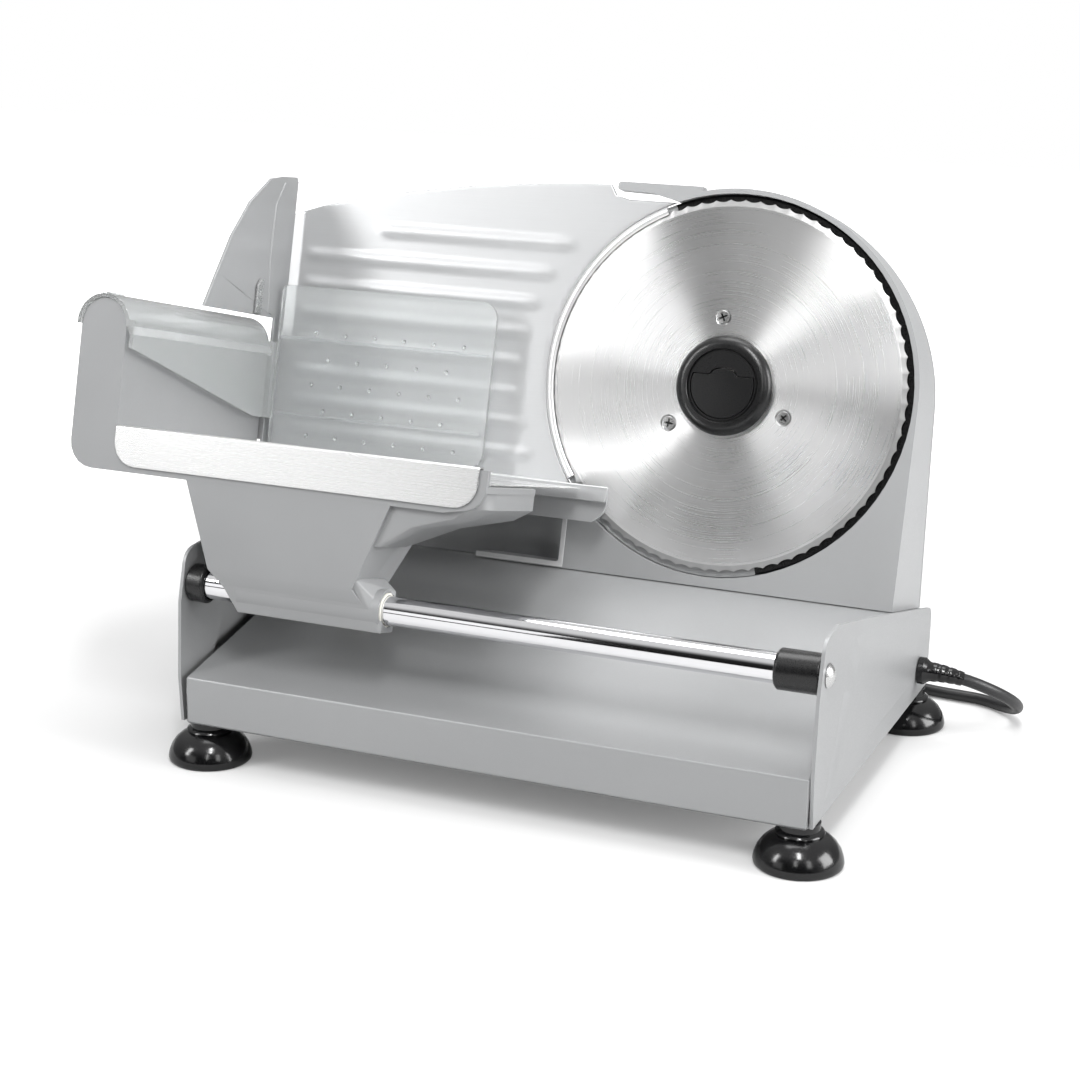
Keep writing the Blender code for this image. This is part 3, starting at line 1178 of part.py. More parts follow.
def build_cord_tube(name, route):
    curve = bpy.data.curves.new(name, "CURVE")
    curve.dimensions = "3D"
    curve.bevel_depth = CORD_RADIUS * MM
    curve.bevel_resolution = 2
    curve.use_fill_caps = True
    line = curve.splines.new("POLY")
    spots = smooth_route(route, CORD_RADIUS * 4)
    line.points.add(len(spots) - 1)
    for point, spot in zip(line.points, spots):
        point.co = (*(spot * MM), 1.0)
    curve.materials.append(CORD_PVC)
    piece = bpy.data.objects.new(name, curve)
    piece.parent = UPRIGHT
    bpy.context.collection.objects.link(piece)


def build_coil():
    """The wound part of the cord, as one ring of the turns' outer shape."""
    half_wide = CORD_RADIUS + CORD_PITCH * (COIL_TURNS_WIDE - 1) / 2
    top = 0.4 + 2 * CORD_RADIUS + CORD_PITCH * (COIL_TURNS_HIGH - 1)
    outer = COIL_RADIUS + half_wide
    inner = COIL_RADIUS - half_wide
    round_off = 2.0
    profile = [(inner, 0.4 + round_off), (inner + round_off, 0.4), (outer - round_off, 0.4),
               (outer, 0.4 + round_off), (outer, top - round_off), (outer - round_off, top),
               (inner + round_off, top), (inner, top - round_off)]
    add_piece("cord_coil", lathe(profile, 2, 32, (*COIL_CENTER, 0.0)), CORD_PVC)


PLUG_RADIUS = 9.0
PLUG_LENGTH = 38.0
PIN_RADIUS = 2.0
PIN_REACH = 19.0
PIN_SPACING = 12.7


def build_cord():
    """The free cord: its lead, its coil, its tail and the plug on its end."""
    build_cord_tube("cord_lead", LEAD_ROUTE)
    build_coil()
    build_cord_tube("cord_tail", TAIL_ROUTE)
    tip_x, y, z = TAIL_ROUTE[-1]
    tip_x -= GAP
    profile = [(0, tip_x), (CORD_RADIUS + 0.8, tip_x), (CORD_RADIUS + 2.0, tip_x - 12.0),
               (PLUG_RADIUS - 0.6, tip_x - 17.0), (PLUG_RADIUS, tip_x - 20.0),
               (PLUG_RADIUS, tip_x - PLUG_LENGTH), (0, tip_x - PLUG_LENGTH)]
    plug = add_piece("plug_body", lathe(profile, 0, 24, (0, y, z)), BLACK_PLASTIC)
    face = tip_x - PLUG_LENGTH
    for name, side in (("plug_pin_left", -1), ("plug_pin_right", 1)):
        spot = (0, y + side * PIN_SPACING / 2, z)
        pin = [(0, face + 6.0), (PIN_RADIUS, face + 6.0), (PIN_RADIUS, face - PIN_REACH + 1.0),
               (PIN_RADIUS - 1.0, face - PIN_REACH), (0, face - PIN_REACH)]
        add_piece(name, lathe(pin, 0, 16, spot), ZINC)
        cut(plug, rod(PIN_RADIUS + GAP, 0, face - OVERCUT, face + 6.0 + GAP, spot, 16))


def place_origin():
    """Puts the origin on the table, under the middle of everything but the free cord."""
    left = WALL_MID_X - CAP_RADIUS - GAP - CAP_WALL
    right = FOOT_X + FOOT_RADIUS
    front = -FOOT_Y - FOOT_RADIUS
    rear = to_world(CAM_X, KNOB_FRONT_T + SET_KNOB_DEPTH, CAM_W + SET_KNOB_RADIUS).y
    UPRIGHT.location = (-(left + right) / 2 * MM, -(front + rear) / 2 * MM, 0.0)


# --- build everything ---------------------------------------------------------------------

build_base_shell()
build_base_bottom()
build_side_plate("side_plate_right", RIGHT_PLATE_X, 1, RIGHT_BULGE, 9.0)
build_side_plate("side_plate_left", LEFT_PLATE_X, -1, LEFT_BULGE, 3.0)
build_slide_rod()
build_rod_end("right", 1, RIGHT_PLATE_X, SOCKET_RIGHT_LENGTH)
build_rod_end("left", -1, LEFT_PLATE_X, SOCKET_LEFT_LENGTH)
for foot_x, foot_y, foot_name in foot_places():
    build_foot(foot_x, foot_y, foot_name)
build_housing()
build_cover()
build_blade()
build_blade_carrier()
build_blade_screws()
build_lock_knob()
build_drive()
build_guide_plate()
build_guide_bracket()
build_thickness_knob()
build_switch()
build_carriage_body()
build_carriage_glide()
build_carriage_bushes()
build_steel_tray()
build_finger_guard()
build_guard_clip()
build_pusher()
build_gland()
build_cord()
place_origin()
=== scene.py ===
from math import acos, atan2, cos, degrees, hypot, pi, radians, sin, sqrt

import bmesh
import bpy
from mathutils import Matrix, Vector
from mathutils.geometry import delaunay_2d_cdt


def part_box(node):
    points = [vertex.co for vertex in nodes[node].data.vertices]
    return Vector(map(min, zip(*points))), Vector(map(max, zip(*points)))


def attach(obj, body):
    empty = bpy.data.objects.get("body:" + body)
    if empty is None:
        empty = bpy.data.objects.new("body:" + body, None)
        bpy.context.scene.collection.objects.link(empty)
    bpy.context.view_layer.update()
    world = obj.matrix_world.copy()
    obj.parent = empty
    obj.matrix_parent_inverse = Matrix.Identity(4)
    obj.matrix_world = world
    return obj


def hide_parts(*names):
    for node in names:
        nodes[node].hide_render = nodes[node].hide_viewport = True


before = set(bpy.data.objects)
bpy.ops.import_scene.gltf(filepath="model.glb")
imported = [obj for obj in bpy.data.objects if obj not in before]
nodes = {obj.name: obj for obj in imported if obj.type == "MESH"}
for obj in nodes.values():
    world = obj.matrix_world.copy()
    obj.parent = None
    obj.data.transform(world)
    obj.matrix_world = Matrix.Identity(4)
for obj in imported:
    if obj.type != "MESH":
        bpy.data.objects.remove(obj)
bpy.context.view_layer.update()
scene = bpy.context.scene
mm = 0.001

# camera, floor and light
camera = {
    "place": (0.41475, -0.990744, 0.3941),
    "azimuth": 22.3001,
    "elevation": 15.2796,
    "roll": 1.2674,
    "lens": 73.08,
    "sensor": 36.0,
}


def setCamera(c):
    az, el, roll = radians(c["azimuth"]), radians(c["elevation"]), radians(c["roll"])
    side = Vector((cos(az), sin(az), 0))
    rise = Vector((-sin(az) * sin(el), cos(az) * sin(el), cos(el)))
    back = Vector((sin(az) * cos(el), -cos(az) * cos(el), sin(el)))
    right = cos(roll) * side + sin(roll) * rise
    up = -sin(roll) * side + cos(roll) * rise
    data = bpy.data.cameras.new("studioCamera")
    data.lens = c["lens"]
    data.sensor_width = c["sensor"]
    data.clip_start = 0.02
    data.clip_end = 200
    rig = bpy.data.objects.new("studioCamera", data)
    scene.collection.objects.link(rig)
    rig.matrix_world = Matrix((
        (right.x, up.x, back.x, c["place"][0]),
        (right.y, up.y, back.y, c["place"][1]),
        (right.z, up.z, back.z, c["place"][2]),
        (0, 0, 0, 1),
    ))
    scene.camera = rig


setCamera(camera)
scene.view_settings.view_transform = "Standard"
print("camera set")


def toLinear(hexColor):
    parts = [int(hexColor[i:i + 2], 16) / 255 for i in (1, 3, 5)]
    return tuple([p / 12.92 if p <= 0.04045 else ((p + 0.055) / 1.055) ** 2.4 for p in parts] + [1.0])


# settings are attributes, inputs are socket values, links go from (node, output) to a socket
def addNode(tree, kind, settings=None, inputs=None, links=None):
    node = tree.nodes.new(kind)
    for key, value in (settings or {}).items():
        setattr(node, key, value)
    for key, value in (inputs or {}).items():
        node.inputs[key].default_value = value
    for key, (source, output) in (links or {}).items():
        tree.links.new(source.outputs[output], node.inputs[key])
    return node


studio = {
    "floorHalf": 3.2,
    "floorColor": "#c4c4c4",
    "floorGlow": 0.16,
    "whiteFrom": 0.36,
    "whiteBy": 0.80,
    "skyTop": 0.80,
    "skySide": 0.34,
    "frontDark": 0.04,
    "lights": {
        # name: (place, aim, width, height, watts)
        "softboxLeft": ((-1.15, -1.15, 1.0), (0.0, 0.0, 0.15), 0.30, 0.8, 12),
        "softboxTopRight": ((0.45, -1.0, 1.55), (0.03, 0.0, 0.15), 0.20, 0.7, 18),
        "softboxNarrow": ((0.366, -1.37, 0.84), (0.08, 0.06, 0.17), 0.09, 0.5, 2.0),
        "softboxRight": ((1.25, -1.15, 0.85), (0.03, 0.0, 0.15), 0.3, 0.7, 3.5),
        "frontCard": ((-0.66, -1.15, 0.36), (-0.07, -0.09, 0.14), 0.6, 0.42, 0.95),
        "overhead": ((-0.1, 0.30, 1.9), (0.0, 0.0, 0.1), 1.2, 1.0, 19),
        "sideCard": ((1.8, 0.15, 0.75), (0.1, 0.0, 0.15), 1.0, 1.0, 34),
    },
}


def buildStudio(s):
    half = s["floorHalf"]
    mesh = bpy.data.meshes.new("studioFloor")
    mesh.from_pydata([(-half, -half, 0), (half, -half, 0), (half, half, 0), (-half, half, 0)],
                     [], [(0, 1, 2, 3)])
    floor = bpy.data.objects.new("studioFloor", mesh)
    scene.collection.objects.link(floor)
    material = bpy.data.materials.new("paintedFloorWhite")
    material.use_nodes = True
    shader = material.node_tree.nodes["Principled BSDF"]
    shader.inputs["Base Color"].default_value = toLinear(s["floorColor"])
    shader.inputs["Roughness"].default_value = 0.9
    shader.inputs["Specular IOR Level"].default_value = 0.1
    shader.inputs["Emission Color"].default_value = (1, 1, 1, 1)
    # the glow lifts the floor to white, more so away from the slicer, without lighting it from below
    spot = addNode(material.node_tree, "ShaderNodeTexCoord")
    reach = addNode(material.node_tree, "ShaderNodeVectorMath", {"operation": "LENGTH"},
                    links={0: (spot, "Object")})
    ramp = addNode(material.node_tree, "ShaderNodeMapRange", {"interpolation_type": "SMOOTHSTEP"},
                   {"From Min": s["whiteFrom"], "From Max": s["whiteBy"], "To Min": s["floorGlow"], "To Max": 1.0},
                   {"Value": (reach, "Value")})
    rays = addNode(material.node_tree, "ShaderNodeLightPath")
    glow = addNode(material.node_tree, "ShaderNodeMath", {"operation": "MULTIPLY"},
                   links={0: (rays, "Is Camera Ray"), 1: (ramp, "Result")})
    material.node_tree.links.new(glow.outputs["Value"], shader.inputs["Emission Strength"])
    mesh.materials.append(material)

    # the sky is a plain dome: bright above, dimmer at the sides, dark low in front
    world = bpy.data.worlds.new("studioDome")
    world.use_nodes = True
    scene.world = world
    tree = world.node_tree
    tree.nodes.clear()
    coords = addNode(tree, "ShaderNodeTexCoord")
    split = addNode(tree, "ShaderNodeSeparateXYZ", links={"Vector": (coords, "Generated")})
    height = addNode(tree, "ShaderNodeMapRange", {"interpolation_type": "SMOOTHSTEP"},
                     {"From Min": 0.15, "From Max": 0.85, "To Min": s["skySide"], "To Max": s["skyTop"]},
                     {"Value": (split, "Z")})
    front = addNode(tree, "ShaderNodeMapRange", {"interpolation_type": "SMOOTHSTEP"},
                    {"From Min": -0.25, "From Max": -0.75, "To Min": 0.0, "To Max": 1.0},
                    {"Value": (split, "Y")})
    low = addNode(tree, "ShaderNodeMapRange", {"interpolation_type": "SMOOTHSTEP"},
                  {"From Min": 0.30, "From Max": 0.95, "To Min": 1.0, "To Max": 0.0},
                  {"Value": (split, "Z")})
    both = addNode(tree, "ShaderNodeMath", {"operation": "MULTIPLY"},
                   links={0: (front, "Result"), 1: (low, "Result")})
    shade = addNode(tree, "ShaderNodeMapRange", {"interpolation_type": "SMOOTHSTEP"},
                    {"From Min": 0.0, "From Max": 1.0, "To Min": 1.0, "To Max": s["frontDark"]},
                    {"Value": (both, "Value")})
    glow = addNode(tree, "ShaderNodeMath", {"operation": "MULTIPLY"},
                   links={0: (height, "Result"), 1: (shade, "Result")})
    dome = addNode(tree, "ShaderNodeBackground", inputs={"Color": (1, 1, 1, 1)},
                   links={"Strength": (glow, "Value")})
    paper = addNode(tree, "ShaderNodeBackground", inputs={"Color": (1, 1, 1, 1), "Strength": 1.0})
    rays = addNode(tree, "ShaderNodeLightPath")
    backdrop = addNode(tree, "ShaderNodeMixShader", links={0: (rays, "Is Camera Ray"),
                                                          1: (dome, "Background"), 2: (paper, "Background")})
    addNode(tree, "ShaderNodeOutputWorld", links={"Surface": (backdrop, "Shader")})

    for name, (place, aim, width, height, watts) in s["lights"].items():
        data = bpy.data.lights.new(name, "AREA")
        data.shape = "RECTANGLE"
        data.size, data.size_y = width, height
        data.energy = watts
        lamp = bpy.data.objects.new(name, data)
        scene.collection.objects.link(lamp)
        lamp.location = place
        lamp.rotation_euler = (Vector(aim) - Vector(place)).to_track_quat("-Z", "Y").to_euler()


buildStudio(studio)
print("floor and light built")

# materials


def startMaterial(name, hexColor, roughness, metallic=0.0, specular=None, coat=None):
    material = bpy.data.materials.new(name)
    material.use_nodes = True
    tree = material.node_tree
    shader = tree.nodes["Principled BSDF"]
    shader.inputs["Base Color"].default_value = toLinear(hexColor)
    shader.inputs["Roughness"].default_value = roughness
    shader.inputs["Metallic"].default_value = metallic
    if specular is not None:
        shader.inputs["Specular IOR Level"].default_value = specular
    if coat is not None:
        shader.inputs["Coat Weight"].default_value = coat
        shader.inputs["Coat Roughness"].default_value = 0.2
    return material, tree, shader


# fine grain in colour, roughness and height, for paint, moulded plastic and castings
def grainMaterial(name, m):
    material, tree, shader = startMaterial(name, m["color"], m["roughness"], m.get("metallic", 0.0),
                                           m.get("specular"), m.get("coat"))
    coords = addNode(tree, "ShaderNodeTexCoord")
    perMetre = 1 / (m["grainMm"] * mm)
    fine = addNode(tree, "ShaderNodeTexNoise", inputs={"Scale": perMetre, "Detail": 3.0, "Roughness": 0.6},
                   links={"Vector": (coords, "Object")})
    broad = addNode(tree, "ShaderNodeTexNoise", inputs={"Scale": 1 / (m["cloudMm"] * mm), "Detail": 2.0},
                    links={"Vector": (coords, "Object")})
    light, dark = toLinear(m["color"]), toLinear(m["shade"])
    blend = addNode(tree, "ShaderNodeMix", {"data_type": "RGBA"}, {6: light, 7: dark},
                    {0: (broad, "Fac")})
    tree.links.new(blend.outputs[2], shader.inputs["Base Color"])
    spread = m.get("spread", 0.08)
    rough = addNode(tree, "ShaderNodeMapRange",
                    inputs={"From Min": 0.3, "From Max": 0.7, "To Min": m["roughness"] - spread,
                            "To Max": m["roughness"] + spread}, links={"Value": (fine, "Fac")})
    tree.links.new(rough.outputs["Result"], shader.inputs["Roughness"])
    bump = addNode(tree, "ShaderNodeBump", inputs={"Strength": m.get("bump", 0.15),
                                                   "Distance": m.get("depthMm", 0.03) * mm},
                   links={"Height": (fine, "Fac")})
    tree.links.new(bump.outputs["Normal"], shader.inputs["Normal"])
    return material


# fine lines along one axis: stretched noise in height and roughness
def brushedMaterial(name, m):
    material, tree, shader = startMaterial(name, m["color"], m["roughness"], m.get("metallic", 1.0))
    coords = addNode(tree, "ShaderNodeTexCoord")
    along, across = 1 / (m["lineLengthMm"] * mm), 1 / (m["linePitchMm"] * mm)
    scales = {"x": (along, across, across), "y": (across, along, across), "z": (across, across, along)}
    mapping = addNode(tree, "ShaderNodeMapping", inputs={"Scale": scales[m["along"]]},
                      links={"Vector": (coords, "Object")})
    lines = addNode(tree, "ShaderNodeTexNoise", inputs={"Scale": 1.0, "Detail": 4.0, "Roughness": 0.65},
                    links={"Vector": (mapping, "Vector")})
    broad = addNode(tree, "ShaderNodeTexNoise", inputs={"Scale": 1 / (m["cloudMm"] * mm), "Detail": 2.0},
                    links={"Vector": (coords, "Object")})
    blend = addNode(tree, "ShaderNodeMix", {"data_type": "RGBA"},
                    {6: toLinear(m["color"]), 7: toLinear(m["shade"])}, {0: (lines, "Fac")})
    tree.links.new(blend.outputs[2], shader.inputs["Base Color"])
    both = addNode(tree, "ShaderNodeMath", {"operation": "MULTIPLY_ADD"}, {1: 0.3},
                   {0: (broad, "Fac"), 2: (lines, "Fac")})
    rough = addNode(tree, "ShaderNodeMapRange",
                    inputs={"From Min": 0.4, "From Max": 0.9, "To Min": m["roughness"] - m["spread"],
                            "To Max": m["roughness"] + m["spread"]}, links={"Value": (both, "Value")})
    tree.links.new(rough.outputs["Result"], shader.inputs["Roughness"])
    bump = addNode(tree, "ShaderNodeBump", inputs={"Strength": m["bump"], "Distance": 0.02 * mm},
                   links={"Height": (lines, "Fac")})
    tree.links.new(bump.outputs["Normal"], shader.inputs["Normal"])
    return material


# rings cut by a lathe or a grinding wheel round the piece's own Y axis
def turnedMaterial(name, m):
    material, tree, shader = startMaterial(name, m["color"], m["roughness"], 1.0)
    shader.inputs["Anisotropic"].default_value = m["anisotropic"]
    shader.inputs["Anisotropic Rotation"].default_value = m["turn"]
    coords = addNode(tree, "ShaderNodeTexCoord")
    tangent = addNode(tree, "ShaderNodeTangent", {"direction_type": "RADIAL", "axis": "Y"})
    tree.links.new(tangent.outputs["Tangent"], shader.inputs["Tangent"])
    flat = addNode(tree, "ShaderNodeMapping", inputs={"Scale": (1.0, 0.0, 1.0)},
                   links={"Vector": (coords, "Object")})
    reach = addNode(tree, "ShaderNodeVectorMath", {"operation": "LENGTH"}, links={0: (flat, "Vector")})
    rings = addNode(tree, "ShaderNodeTexNoise", {"noise_dimensions": "1D"},
                    {"Scale": 1 / (m["ringPitchMm"] * mm), "Detail": 3.0, "Roughness": 0.7},
                    {"W": (reach, "Value")})
    spots = addNode(tree, "ShaderNodeTexNoise", inputs={"Scale": 1 / (m["cloudMm"] * mm), "Detail": 3.0},
                    links={"Vector": (coords, "Object")})
    blend = addNode(tree, "ShaderNodeMix", {"data_type": "RGBA"},
                    {6: toLinear(m["color"]), 7: toLinear(m["shade"])}, {0: (rings, "Fac")})
    tree.links.new(blend.outputs[2], shader.inputs["Base Color"])
    both = addNode(tree, "ShaderNodeMath", {"operation": "MULTIPLY_ADD"}, {1: 0.5},
                   {0: (spots, "Fac"), 2: (rings, "Fac")})
    rough = addNode(tree, "ShaderNodeMapRange",
                    inputs={"From Min": 0.5, "From Max": 1.0, "To Min": m["roughness"] - m["spread"],
                            "To Max": m["roughness"] + m["spread"]}, links={"Value": (both, "Value")})
    tree.links.new(rough.outputs["Result"], shader.inputs["Roughness"])
    bump = addNode(tree, "ShaderNodeBump", inputs={"Strength": m["bump"], "Distance": 0.01 * mm},
                   links={"Height": (rings, "Fac")})
    tree.links.new(bump.outputs["Normal"], shader.inputs["Normal"])
    return material


# clear moulded plastic: mostly see-through, with a faint cloud in its gloss
def clearMaterial(name, m):
    material, tree, shader = startMaterial(name, m["color"], m["roughness"])
    shader.inputs["Transmission Weight"].default_value = m["transmission"]
    shader.inputs["IOR"].default_value = m["ior"]
    shader.inputs["Alpha"].default_value = m["alpha"]
    coords = addNode(tree, "ShaderNodeTexCoord")
    cloud = addNode(tree, "ShaderNodeTexNoise", inputs={"Scale": 1 / (m["cloudMm"] * mm), "Detail": 3.0},
                    links={"Vector": (coords, "Object")})
    rough = addNode(tree, "ShaderNodeMapRange", inputs={"To Min": 0.04, "To Max": 0.16},
                    links={"Value": (cloud, "Fac")})
    tree.links.new(rough.outputs["Result"], shader.inputs["Roughness"])
    bump = addNode(tree, "ShaderNodeBump", inputs={"Strength": 0.06, "Distance": 0.05 * mm},
                   links={"Height": (cloud, "Fac")})
    tree.links.new(bump.outputs["Normal"], shader.inputs["Normal"])
    return material


finishes = {
    # silver powder coat on pressed steel: an even satin with a faint orange peel
    "powderCoatedSteel": grainMaterial("powderCoatedSteel", {
        "color": "#9a9b9c", "shade": "#949596", "roughness": 0.42, "metallic": 0.35,
        "grainMm": 0.5, "cloudMm": 60, "bump": 0.10, "depthMm": 0.03}),
    # sprayed die-cast aluminium: a little flatter than the sheet, with a soft sparkle
    "sprayedCastAluminium": grainMaterial("sprayedCastAluminium", {
        "color": "#a6a7a8", "shade": "#9fa0a1", "roughness": 0.44, "metallic": 0.35,
        "grainMm": 0.6, "cloudMm": 50, "bump": 0.12, "depthMm": 0.04}),
    # the same paint, painted lighter as a highlight where a folded edge catches the light
    "sprayedPaleEdge": grainMaterial("sprayedPaleEdge", {
        "color": "#dddddd", "shade": "#d3d3d3", "roughness": 0.38, "metallic": 0.3,
        "grainMm": 0.6, "cloudMm": 40, "bump": 0.1, "depthMm": 0.03}),
    # silver ABS, moulded with a fine spark texture
    "mouldedSilverAbs": grainMaterial("mouldedSilverAbs", {
        "color": "#8e8f90", "shade": "#878889", "roughness": 0.46, "metallic": 0.15,
        "grainMm": 0.45, "cloudMm": 40, "bump": 0.14, "depthMm": 0.04}),
    # pressed aluminium, etched and clear anodised: satin and pale
    "anodisedAluminiumSheet": brushedMaterial("anodisedAluminiumSheet", {
        "color": "#c6c7c8", "shade": "#c0c1c2", "roughness": 0.40, "spread": 0.05, "metallic": 0.55,
        "along": "x", "lineLengthMm": 40, "linePitchMm": 0.5, "cloudMm": 60, "bump": 0.04}),
    # the same sheet, painted bright as a highlight along its rolled edge
    "polishedAluminiumEdge": brushedMaterial("polishedAluminiumEdge", {
        "color": "#f2f2f2", "shade": "#e8e8e8", "roughness": 0.3, "spread": 0.03, "metallic": 0.7,
        "along": "z", "lineLengthMm": 20, "linePitchMm": 0.5, "cloudMm": 30, "bump": 0.02}),
    # stainless sheet brushed along the slide: bright with fine lines
    "brushedStainlessSheet": brushedMaterial("brushedStainlessSheet", {
        "color": "#e6e6e6", "shade": "#dcdcdc", "roughness": 0.27, "spread": 0.04,
        "along": "x", "lineLengthMm": 30, "linePitchMm": 0.35, "cloudMm": 45, "bump": 0.03}),
    # ground stainless blade: rings finer than the eye sees, which spread light into fans
    "groundBladeSteel": turnedMaterial("groundBladeSteel", {
        "color": "#ececec", "shade": "#e4e4e4", "roughness": 0.29, "spread": 0.03,
        "anisotropic": 0.93, "turn": 0.25, "ringPitchMm": 0.8, "cloudMm": 30, "bump": 0.001}),
    # the honed bevel is brighter than the face
    "honedBladeEdge": turnedMaterial("honedBladeEdge", {
        "color": "#bdbdbd", "shade": "#b2b2b2", "roughness": 0.40, "spread": 0.03,
        "anisotropic": 0.2, "turn": 0.25, "ringPitchMm": 0.4, "cloudMm": 10, "bump": 0.02}),
    # the recess of a screw head, painted dark as its own shadow
    "screwRecessPaintedShade": grainMaterial("screwRecessPaintedShade", {
        "color": "#232323", "shade": "#1b1b1b", "roughness": 0.45, "metallic": 0.5,
        "grainMm": 0.3, "cloudMm": 3, "bump": 0.08, "depthMm": 0.02}),
    # hard chrome on a ground rod: a mirror with the faintest drawing lines
    "chromedRod": brushedMaterial("chromedRod", {
        "color": "#e8e8ea", "shade": "#dedee0", "roughness": 0.07, "spread": 0.02,
        "along": "x", "lineLengthMm": 25, "linePitchMm": 0.6, "cloudMm": 30, "bump": 0.02}),
    # zinc-plated steel: bright, slightly milky
    "zincPlatedSteel": grainMaterial("zincPlatedSteel", {
        "color": "#d2d2d2", "shade": "#bcbcbc", "roughness": 0.28, "metallic": 1.0,
        "grainMm": 0.4, "cloudMm": 3, "bump": 0.08, "depthMm": 0.02}),
    # black ABS, spark-eroded mould
    "mouldedBlackAbs": grainMaterial("mouldedBlackAbs", {
        "color": "#09090a", "shade": "#0d0d0e", "roughness": 0.30,
        "grainMm": 0.4, "cloudMm": 20, "bump": 0.12, "depthMm": 0.04}),
    # moulded nitrile rubber: glossy from the mould
    "mouldedRubber": grainMaterial("mouldedRubber", {
        "color": "#070708", "shade": "#0b0b0c", "roughness": 0.18,
        "grainMm": 0.7, "cloudMm": 15, "bump": 0.08, "depthMm": 0.04}),
    "mouldedNylon": grainMaterial("mouldedNylon", {
        "color": "#e4e2da", "shade": "#dad8cf", "roughness": 0.45,
        "grainMm": 0.5, "cloudMm": 20, "bump": 0.1, "depthMm": 0.03}),
    "machinedBrass": grainMaterial("machinedBrass", {
        "color": "#d4b46a", "shade": "#c2a25a", "roughness": 0.3, "metallic": 1.0,
        "grainMm": 0.3, "cloudMm": 6, "bump": 0.1, "depthMm": 0.02}),
    # PVC jacket: soft satin with a trace of the sheath's drawing
    "extrudedPvc": grainMaterial("extrudedPvc", {
        "color": "#19191a", "shade": "#202021", "roughness": 0.42,
        "grainMm": 0.8, "cloudMm": 18, "bump": 0.1, "depthMm": 0.04}),
    # clear SAN, injection moulded
    "mouldedClearSan": clearMaterial("mouldedClearSan", {
        "color": "#f4f6f6", "roughness": 0.08, "transmission": 0.85, "ior": 1.45, "alpha": 1.0,
        "cloudMm": 14}),
}
slotFinishes = {
    "painted_steel": "powderCoatedSteel",
    "painted_housing": "sprayedCastAluminium",
    "silver_plastic": "mouldedSilverAbs",
    "satin_plate": "anodisedAluminiumSheet",
    "brushed_steel": "brushedStainlessSheet",
    "blade_steel": "groundBladeSteel",
    "chrome": "chromedRod",
    "zinc": "zincPlatedSteel",
    "plug_brass": "machinedBrass",
    "black_plastic": "mouldedBlackAbs",
    "black_rubber": "mouldedRubber",
    "clear_plastic": "mouldedClearSan",
    "white_nylon": "mouldedNylon",
    "brass": "machinedBrass",
    "cord_jacket": "extrudedPvc",
}
print("materials made:", len(finishes))

# mesh tools
lean = radians(13.2)                       # the blade and its housing lean back this far
blade = {"x": 53.0, "t": 28.0, "w": 188.3}   # middle of the blade in its own leaning frame, mm
lowBlade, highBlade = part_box("blade")
hub = (lowBlade + highBlade) / 2
shift = Vector((hub.x - blade["x"] * mm, hub.y - (blade["t"] * cos(lean) + blade["w"] * sin(lean)) * mm, 0))


# a place in the leaning frame: across, into the housing, and up along the blade, in mm
def leaning(x, t, w):
    turned = Vector((x, t * cos(lean) + w * sin(lean), -t * sin(lean) + w * cos(lean))) * mm
    return turned + shift


def upright(x, y, z):
    return Vector((x, y, z)) * mm + shift


def standAt(origin, leans):
    turn = Matrix.Rotation(-lean, 4, "X") if leans else Matrix.Identity(4)
    spot = leaning(*origin) if leans else upright(*origin)
    return Matrix.Translation(spot) @ turn


# mesh is in mm about the origin; the piece rides on a body and may stand for CAD nodes
def addPiece(name, mesh, finish, body, origin=(0, 0, 0), leans=True, instead=(), smooth=38.0):
    bmesh.ops.scale(mesh, vec=(mm, mm, mm), verts=mesh.verts)
    data = bpy.data.meshes.new(name)
    mesh.to_mesh(data)
    mesh.free()
    for one in ([finish] if isinstance(finish, str) else finish):
        data.materials.append(finishes[one])
    piece = bpy.data.objects.new(name, data)
    scene.collection.objects.link(piece)
    piece.matrix_world = standAt(origin, leans)
    if smooth:
        shadeByAngle(data, smooth)
    if body:
        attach(piece, body)
        if instead:
            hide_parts(*instead)
    return piece


# smooth faces, with an edge kept sharp where the faces turn by more than the angle
def shadeByAngle(data, angle):
    shape = bmesh.new()
    shape.from_mesh(data)
    limit = radians(angle)
    for face in shape.faces:
        face.smooth = True
    for edge in shape.edges:
        if len(edge.link_faces) == 2:
            edge.smooth = edge.calc_face_angle(0) < limit
    shape.to_mesh(data)
    shape.free()


# a lathe shape from (radius, along) pairs; the first and last pairs may be on the axis
def turned(profile, segments, axis="t"):
    mesh = bmesh.new()
    rings = []
    for radius, along in profile:
        ring = []
        count = 1 if radius < 1e-6 else segments
        for k in range(count):
            a = 2 * pi * k / segments
            u, v = radius * cos(a), radius * sin(a)
            place = {"t": (u, along, v), "x": (along, u, v), "z": (u, v, along)}[axis]
            ring.append(mesh.verts.new(place))
        rings.append(ring)
    for a, b in zip(rings, rings[1:]):
        for k in range(segments):
            j = (k + 1) % segments
            if len(a) == 1 and len(b) > 1:
                mesh.faces.new((a[0], b[j], b[k]))
            elif len(b) == 1 and len(a) > 1:
                mesh.faces.new((a[k], a[j], b[0]))
            elif len(a) > 1:
                mesh.faces.new((a[k], a[j], b[j], b[k]))
    bmesh.ops.recalc_face_normals(mesh, faces=mesh.faces)
    return mesh


def arcPoints(cx, cy, r, start, end, steps):
    return [(cx + r * cos(start + (end - start) * i / steps), cy + r * sin(start + (end - start) * i / steps))
            for i in range(steps + 1)]


